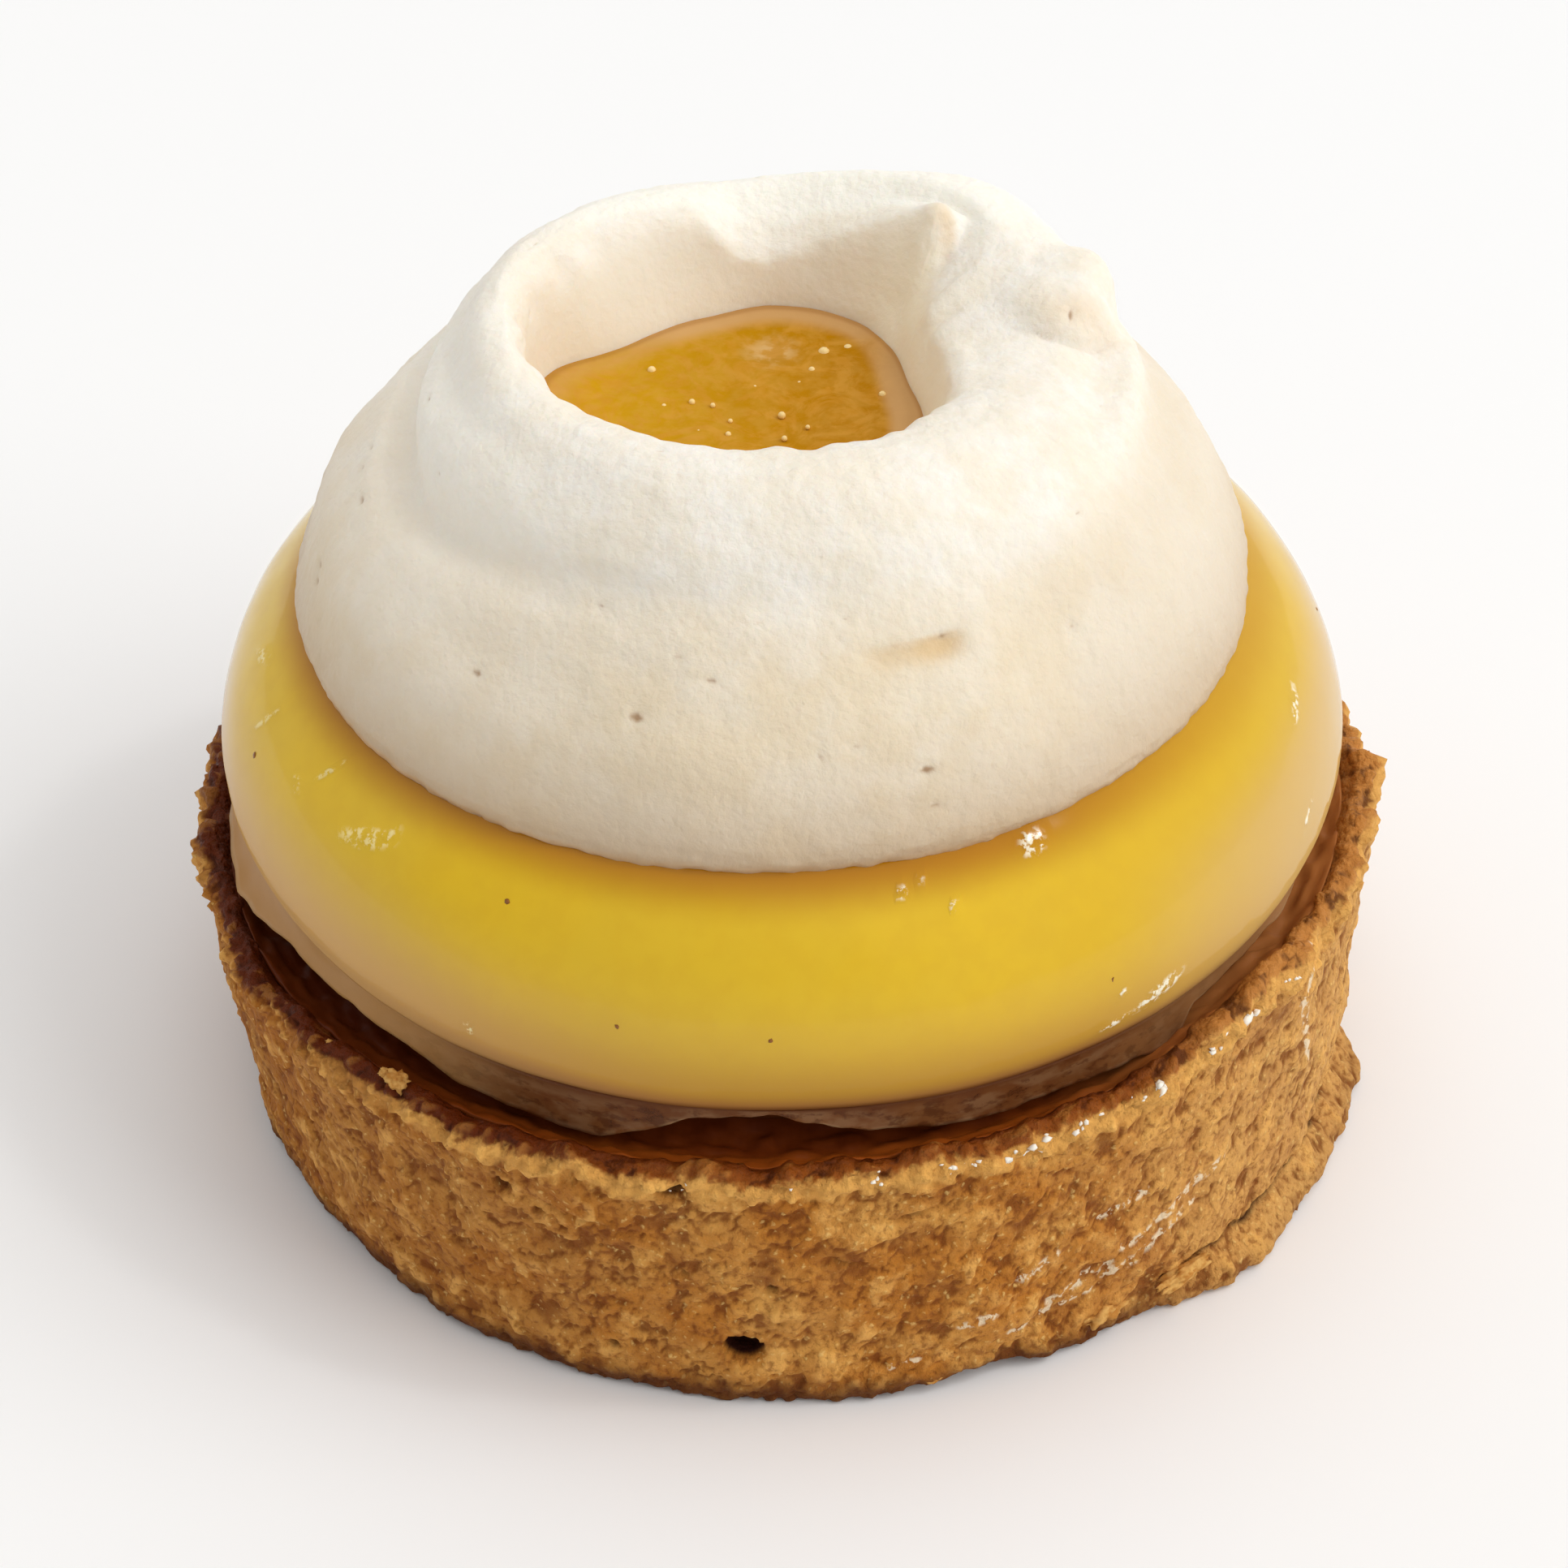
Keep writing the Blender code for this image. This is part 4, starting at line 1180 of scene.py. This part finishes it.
def gel_finish():
    """Lemon gel: deep amber with paler clouds and a milky veil along the nest's wall."""
    paint = Finish(
        "lemon_gel", Roughness=0.2, Coat_Weight=0.12, Coat_Roughness=0.05, Specular_IOR_Level=0.0,
    )
    place, skin, bits = paint.place, paint.mark("place"), paint.mottle(paint.place, 1.2)
    swirl = paint.range(paint.noise(place, 3.6, 5.0, 0.65, 2.4), 0.42, 0.62)
    paint.color = paint.mix(paint.over("X", -12, 6), (196, 146, 10), (178, 118, 0))
    paint.tint(swirl, (200, 140, 46), 0.6)
    paint.tint(bits, (214, 168, 80), 0.2)
    away = paint.add("ShaderNodeVectorMath", {0: place, 1: GEL_CLOUD}, operation="DISTANCE")
    cloud = paint.range(away.outputs["Value"], 0.0026, 0.0003)
    paint.tint(paint.times(cloud, paint.range(bits, 0.0, 1.0, 0.1, 0.5)), (222, 190, 140))
    wide = paint.over("X", 4, 8)
    share = paint.math("MAXIMUM", paint.math("MAXIMUM", paint.over("Y", 6, 10.5), wide), 0.4)
    inward = paint.math("SUBTRACT", skin, paint.times(wide, 0.35))
    paint.tint(paint.times(paint.range(inward, 5.6, 5.2), share), (206, 162, 108), 0.85)
    paint.tint(paint.range(skin, 5.12, 4.9), (150, 92, 30), 0.35)
    return paint.done()


def make_gel(finish):
    bm = revolved(GEL_SECTION, GEL_CUTS, GEL_STEPS, gel_shape, gel_relief)
    to_piece(bm, "gel_pool", finish, "lemon_gel", "lemon_gel")


# ---------------------------------------------------------------- glaze skirt

# Length by azimuth of the film of glaze that hangs from under the dome, and its flare.
SKIRT_LENGTH = (
    (-178, 2.2), (-168, 2.8), (-160, 3.0), (-154, 2.4), (-148, 2.0), (-138, 1.8), (-128, 2.3),
    (-120, 3.0), (-110, 3.2), (-104, 2.4), (-99, 0.9), (-90, 0.5), (-85, 1.3), (-76, 2.2),
    (-64, 2.3), (-55, 2.3), (-49, 2.8), (-45, 1.2), (-34, 1.0), (-20, 0.9), (0, 0.8), (40, 1.4),
    (80, 0.7), (120, 1.6), (160, 1.2),
)
SKIRT_FLARE = (
    (-178, 0.55), (-160, 0.5), (-148, 0.25), (-120, 0.15), (-60, 0.15), (0, 0.2), (90, 0.2),
    (160, 0.3),
)
SKIRT_TOP, SKIRT_THICKNESS, SKIRT_STEPS, SKIRT_CUTS = (36.15, 23.9), 0.22, 420, 10


@remember
def skirt_meridian(azimuth):
    length = around(SKIRT_LENGTH, azimuth) + 0.2 * ripple(azimuth, 0.0, 1.9, 77.0)
    return max(length, 0.3), around(SKIRT_FLARE, azimuth)


def skirt_shape(r, azimuth, z, place):
    length, flare = skirt_meridian(azimuth)
    radius, top = SKIRT_TOP
    down = length * place
    waves = 0.2 * ripple(azimuth, 0.0, 7.0, 71.0) * place
    fold = 0.05 * ripple(azimuth, 3.0 * down, 3.0, 75.0) * place
    return spot(radius + flare * down * place + waves + fold, azimuth, top - down)


def skirt_finish():
    """Thin set glaze: smoky and half clear over the dark crust, milky along its lip, with a
    painted shadow along its top under the dome.
    """
    paint = Finish("glaze_film", Roughness=0.35, Specular_IOR_Level=0.15)
    place, skin, left = paint.place, paint.mark("place"), paint.over("X", -14, -27)
    sheets = paint.stretched(place, (1.0, 1.0, 2.2))
    folds = paint.range(paint.noise(sheets, 1.5, 4.0, 0.65), 0.5, 0.62)
    sheets = paint.range(paint.noise(sheets, 2.6, 3.0, 0.6), 0.42, 0.62)
    paint.color = paint.mix(paint.mottle(place, 3.0), (116, 66, 32), (132, 82, 44))
    paint.tint(sheets, (156, 116, 80), 0.5)
    paint.tint(folds, (78, 36, 12), 0.6)
    # Painted shadow along the film's top, under the dome's edge.
    paint.tint(paint.range(skin, 0.35, 0.0), (108, 60, 28))
    paint.tint(left, (190, 142, 84), 0.9)
    paint.tint(paint.over("X", 18, 30), (176, 128, 80), 0.75)
    lip = paint.range(skin, 0.86, 0.97)
    broken = paint.range(paint.noise(place, 1.8), 0.45, 0.6)
    paint.tint(paint.times(lip, broken), (186, 152, 112), 0.35)
    paint.set("Alpha", paint.range(paint.math("MAXIMUM", lip, left), 0.0, 1.0, 0.82, 0.95))
    return paint.done()


def make_skirt(finish):
    radius, top = SKIRT_TOP
    profile = ((radius, top), (radius + 0.2, top - 2.0))
    bm = revolved(profile, (SKIRT_CUTS,), SKIRT_STEPS, skirt_shape)
    piece = to_piece(bm, "glaze_skirt", finish, "lemon_glaze")
    thick = piece.modifiers.new("thickness", "SOLIDIFY")
    thick.thickness = SKIRT_THICKNESS * MM
    thick.offset = 0.0


# ---------------------------------------------------------------- brown glaze and small things

# (r, z) round the section of the brown glaze that fills the gap between case and dome.
POOL_SECTION = (
    (33.0, 21.0), (34.2, 20.3), (35.2, 20.05), (36.2, 20.1), (37.0, 20.4), (37.9, 20.9),
    (37.6, 19.6), (35.5, 18.9), (33.4, 19.2),
)
POOL_CUTS, POOL_STEPS = [4, 4, 4, 4, 4, 1, 1, 1], 420
# (azimuth, height, size, length) of the dark specks in the dome's glaze.
SPECKS = (
    (-118.9, 35.3, 0.2, 1.0), (-105.6, 36.95, 0.2, 1.6), (-97.6, 35.8, 0.2, 1.0),
    (-135.9, 29.6, 0.24, 1.0), (-145.5, 34.3, 0.2, 2.2), (-159.8, 32.8, 0.22, 1.2),
    (-109.4, 29.6, 0.26, 1.2), (-58.0, 29.7, 0.26, 1.0), (-8.0, 34.7, 0.3, 1.6),
    (-78.7, 31.2, 0.16, 1.0), (-105.7, 30.35, 0.16, 1.0), (-91.4, 30.3, 0.16, 1.0),
)
MORE_SPECKS, SPECK_SEED = 16, 11
# Azimuths and sizes of the knots of near-white grains on the rim, painted as glints, their
# place along the crust's section, and the grains in each.
GRAINS = (
    (-82.3, 0.22), (-75.8, 0.26), (-73.9, 0.18), (-69.9, 0.3), (-67.0, 0.3), (-63.8, 0.18),
    (-62.3, 0.24), (-56.9, 0.16), (-55.3, 0.32), (-48.0, 0.26), (-42.8, 0.3), (-90.2, 0.14),
    (-99.0, 0.12), (-37.5, 0.16),
)
GRAIN_PLACE, GRAIN_COUNT, GRAIN_SEED = 13.0, 4, 8
# (azimuth, radius, height, half length, half height) of the crumbs stuck on the case.
CRUMBS = (
    (-128.8, 38.6, 20.9, 0.8, 0.62), (-130.6, 38.5, 20.6, 0.45, 0.4),
    (-59.5, 38.2, 2.2, 1.6, 0.8), (-50.5, 39.1, 2.6, 2.3, 0.55), (-77.6, 38.2, 1.2, 0.7, 0.45),
    (-138.0, 38.9, 20.2, 0.4, 0.35),
)
# (azimuth, radius, size) of the bubbles in the gel.
BUBBLES = (
    (144.5, 9.95, 0.3), (46.8, 0.4, 0.26), (20.6, 7.2, 0.26), (68.0, 8.2, 0.42),
    (60.0, 9.3, 0.34), (-80.0, 2.4, 0.2), (-150.0, 3.6, 0.2), (160.0, 5.8, 0.22),
    (168.0, 7.4, 0.18), (159.3, 4.4, 0.18), (67.9, 6.0, 0.24), (70.5, 4.3, 0.14),
    (171.1, 8.8, 0.18), (-174.8, 3.0, 0.16), (-163.6, 5.2, 0.16), (111.3, 3.9, 0.14),
    (-168.0, 9.6, 0.14), (176.0, 11.0, 0.14), (-30.0, 2.2, 0.16),
)


def rough_lump(bm, centre, outward, sizes, rough, seed, detail=1):
    """A rough grain of the given half sizes, the last of them along outward."""
    made = bmesh.ops.create_icosphere(bm, subdivisions=detail, radius=1.0)["verts"]
    for vert in made:
        broad = noise.noise(vert.co * 1.7 + Vector((seed, 0.0, 0.0)))
        fine = noise.noise(vert.co * 4.5 + Vector((0.0, seed, 0.0)))
        vert.co *= 1.0 + rough * (broad + 0.6 * fine)
    turned = outward.to_track_quat("Z", "Y").to_matrix().to_4x4()
    place = Matrix.Translation(centre) @ turned @ Matrix.Diagonal((*sizes, 1.0))
    bmesh.ops.transform(bm, matrix=place, verts=made)


def pool_shape(r, azimuth, z, place):
    ragged = 0.28 * ripple(azimuth, 2.0 * r, 1.3, 81.0)
    return spot(r, azimuth, z + 0.9 * rim_rise(azimuth) + ragged, leaned(z))


def pool_finish():
    """Brown glaze: dark at the dome, lighter where it thins out on the case."""
    paint = Finish("brown_glaze", Roughness=0.4, Specular_IOR_Level=0.12)
    paint.color = paint.mix(paint.mottle(paint.place, 2.0), (108, 44, 11), (124, 54, 15))
    paint.tint(paint.range(paint.mark("place"), 2.4, 3.8), (152, 74, 20))
    paint.tint(paint.over("X", -8, -30), (82, 29, 6), 0.8)
    paint.tint(paint.over("X", 14, 30), (182, 116, 60), 0.85)
    return paint.done()


def make_pool(finish):
    bm = revolved(POOL_SECTION, POOL_CUTS, POOL_STEPS, pool_shape, closed=True)
    to_piece(bm, "brown_glaze_ring", finish, "lemon_glaze")


def on_glaze(azimuth, height):
    """The point of the dome's skin at a height above its widest ring, and its way out."""
    above = [point for point in DOME_SKIN if point[1] >= 28.0]
    for (r0, z0), (r1, z1) in zip(above, above[1:]):
        if z0 <= height <= z1:
            radius = r0 + (r1 - r0) * (height - z0) / (z1 - z0)
            outward = spot(z1 - z0, azimuth, r0 - r1).normalized()
            break
    point = spot(radius, azimuth, height)
    return point + outward * glaze_relief(point, azimuth, DOME_PLACE + 6.0)[0], outward


def make_specks(finish):
    draw = random.Random(SPECK_SEED)
    specks = list(SPECKS)
    for _ in range(MORE_SPECKS):
        azimuth, height = draw.uniform(0.0, 180.0), draw.uniform(28.5, 36.5)
        specks.append((azimuth, height, 0.2, draw.uniform(1.0, 2.0)))
    bm = bmesh.new()
    for azimuth, height, size, long in specks:
        point, outward = on_glaze(azimuth, height)
        rough_lump(bm, point, outward, (size * long, size, 0.05), 0.5, azimuth)
    to_piece(bm, "vanilla_specks", finish, "lemon_glaze")


def make_glint_grains(finish):
    draw = random.Random(GRAIN_SEED)
    profile = crust_profile()
    bm = bmesh.new()
    for knot, knot_size in GRAINS * GRAIN_COUNT:
        azimuth, place = knot + draw.gauss(0.0, 0.6), GRAIN_PLACE + draw.gauss(0.0, 0.25)
        r, z = along(profile, place)
        point = crust_shape(r, azimuth, z, place)
        outward = spot(0.6, azimuth, 0.8)
        point += outward * crust_relief(point, azimuth, place)[0]
        size = knot_size * draw.uniform(0.3, 0.9)
        rough_lump(bm, point, outward, (size * 1.4, size, size), 1.2, azimuth)
    to_piece(bm, "glint_grains", finish, "baked_crust")


def make_crumbs(finish):
    bm = bmesh.new()
    for azimuth, radius, height, long, high in CRUMBS:
        centre = spot(radius, azimuth, height, leaned(height))
        rough_lump(bm, centre, spot(1.0, azimuth, 0.2), (long, high, high), 0.55, azimuth, 4)
    to_piece(bm, "baked_crumbs", finish, "baked_crust")


def make_bubbles(finish):
    bm = bmesh.new()
    up = Vector((0.0, 0.0, 1.0))
    for azimuth, radius, size in BUBBLES:
        centre = spot(radius, azimuth, GEL_LEVEL - 0.3)
        rough_lump(bm, centre, up, (size, size, size), 0.0, 0.0, 2)
    to_piece(bm, "gel_bubbles", finish, "lemon_gel")


def crumb_finish():
    """Golden crumb of the bits stuck on the case."""
    paint = Finish("golden_crumb", Roughness=0.8, Specular_IOR_Level=0.15)
    paint.color = paint.mix(paint.mottle(paint.place, 0.6), (220, 170, 96), (188, 128, 58))
    return paint.done()


def plain_finish(name, color, **constants):
    return Finish(name, Base_Color=color, **constants).material


# ---------------------------------------------------------------- stage, light and camera

FLOOR_SIZE = 6.0
AIM, DISTANCE, PITCH, ROLL = Vector((0.09, 0.0, 19.72)), 242.9, 39.17, -0.8
LENS, SENSOR = 81.0, 36.0
# Strength of the white surroundings, and of their dimmer part above the front and left.
WORLD_LIGHT, DIM_LIGHT, DIM_WAY = 0.68, 0.34, (-0.5, -0.85, 0.0)
# (name, where it shines from, width in degrees, strength) of the broad lights, which lend no
# shine, and (name, place, size, power in watts) of the small lamp that makes the glints.
BROAD_LIGHTS = (
    ("key_light", Vector((0.78, -0.22, 0.62)), 46.0, 1.12),
    ("top_light", Vector((0.1, 0.15, 1.0)), 70.0, 0.55),
)
GLINT_LAMP = ("right_lamp", Vector((301.0, -77.0, 505.0)), 44.0, 0.2)


def make_floor():
    bm = bmesh.new()
    bmesh.ops.create_grid(bm, x_segments=1, y_segments=1, size=FLOOR_SIZE / 2)
    mesh = bpy.data.meshes.new("floor")
    bm.to_mesh(mesh)
    bm.free()
    pale = (247.0, 246.6, 245.8)
    mesh.materials.append(plain_finish("pale_floor", pale, Roughness=0.85, Specular_IOR_Level=0.1))
    floor = bpy.data.objects.new("floor", mesh)
    floor.location.z = -0.00005
    bpy.context.scene.collection.objects.link(floor)


def make_lights():
    world = bpy.data.worlds.new("studio")
    world.use_nodes = True
    background = world.node_tree.nodes["Background"]
    background.inputs["Color"].default_value = (1.0, 0.995, 0.99, 1.0)
    sky = Nodes(world.node_tree)
    way = sky.add("ShaderNodeTexCoord").outputs["Generated"]
    dim = sky.add("ShaderNodeVectorMath", {0: way, 1: DIM_WAY}, operation="DOT_PRODUCT")
    dim = sky.range(dim.outputs["Value"], 0.2, 0.75)
    dim = sky.times(dim, sky.range(sky.axis(way, "Z"), -0.1, 0.6))
    sky.put(background.inputs["Strength"], sky.range(dim, 0.0, 1.0, WORLD_LIGHT, DIM_LIGHT))
    bpy.context.scene.world = world
    for name, way, width, strength in BROAD_LIGHTS:
        light = bpy.data.lights.new(name, "SUN")
        light.angle = math.radians(width)
        add_light(name, light, way, strength).visible_glossy = False
    name, position, size, power = GLINT_LAMP
    light = bpy.data.lights.new(name, "AREA")
    light.shape = "DISK"
    light.size = size * MM
    add_light(name, light, position, power).location = position * MM


def add_light(name, light, way, energy):
    light.energy = energy
    lamp = bpy.data.objects.new(name, light)
    lamp.rotation_euler = way.to_track_quat("Z", "Y").to_euler()
    bpy.context.scene.collection.objects.link(lamp)
    return lamp


def make_camera():
    camera = bpy.data.cameras.new("camera")
    camera.lens = LENS
    camera.sensor_width = SENSOR
    camera.clip_start = 0.01
    eye = bpy.data.objects.new("camera", camera)
    tilt = Matrix.Rotation(math.radians(90.0 - PITCH), 4, "X")
    roll = Matrix.Rotation(math.radians(ROLL), 4, "Z")
    back = tilt @ Vector((0.0, 0.0, DISTANCE))
    eye.matrix_world = Matrix.Translation((AIM + back) * MM) @ tilt @ roll
    bpy.context.scene.collection.objects.link(eye)
    bpy.context.scene.camera = eye


def main():
    make_camera()
    make_crust(crust_finish())
    make_crumbs(crumb_finish())
    # Near-white lumps on the rim, painted as glints.
    make_glint_grains(plain_finish("white_glint", (252, 246, 232), Roughness=0.2))
    make_dome(glaze_finish())
    make_specks(plain_finish("dark_speck", (140, 84, 20), Roughness=0.4))
    make_nest(meringue_finish())
    make_gel(gel_finish())
    make_bubbles(plain_finish("gel_bubble", (246, 214, 140), Roughness=0.1, Coat_Weight=1.0))
    make_pool(pool_finish())
    make_skirt(skirt_finish())
    make_floor()
    make_lights()
    bpy.context.scene.view_settings.view_transform = "Standard"


main()
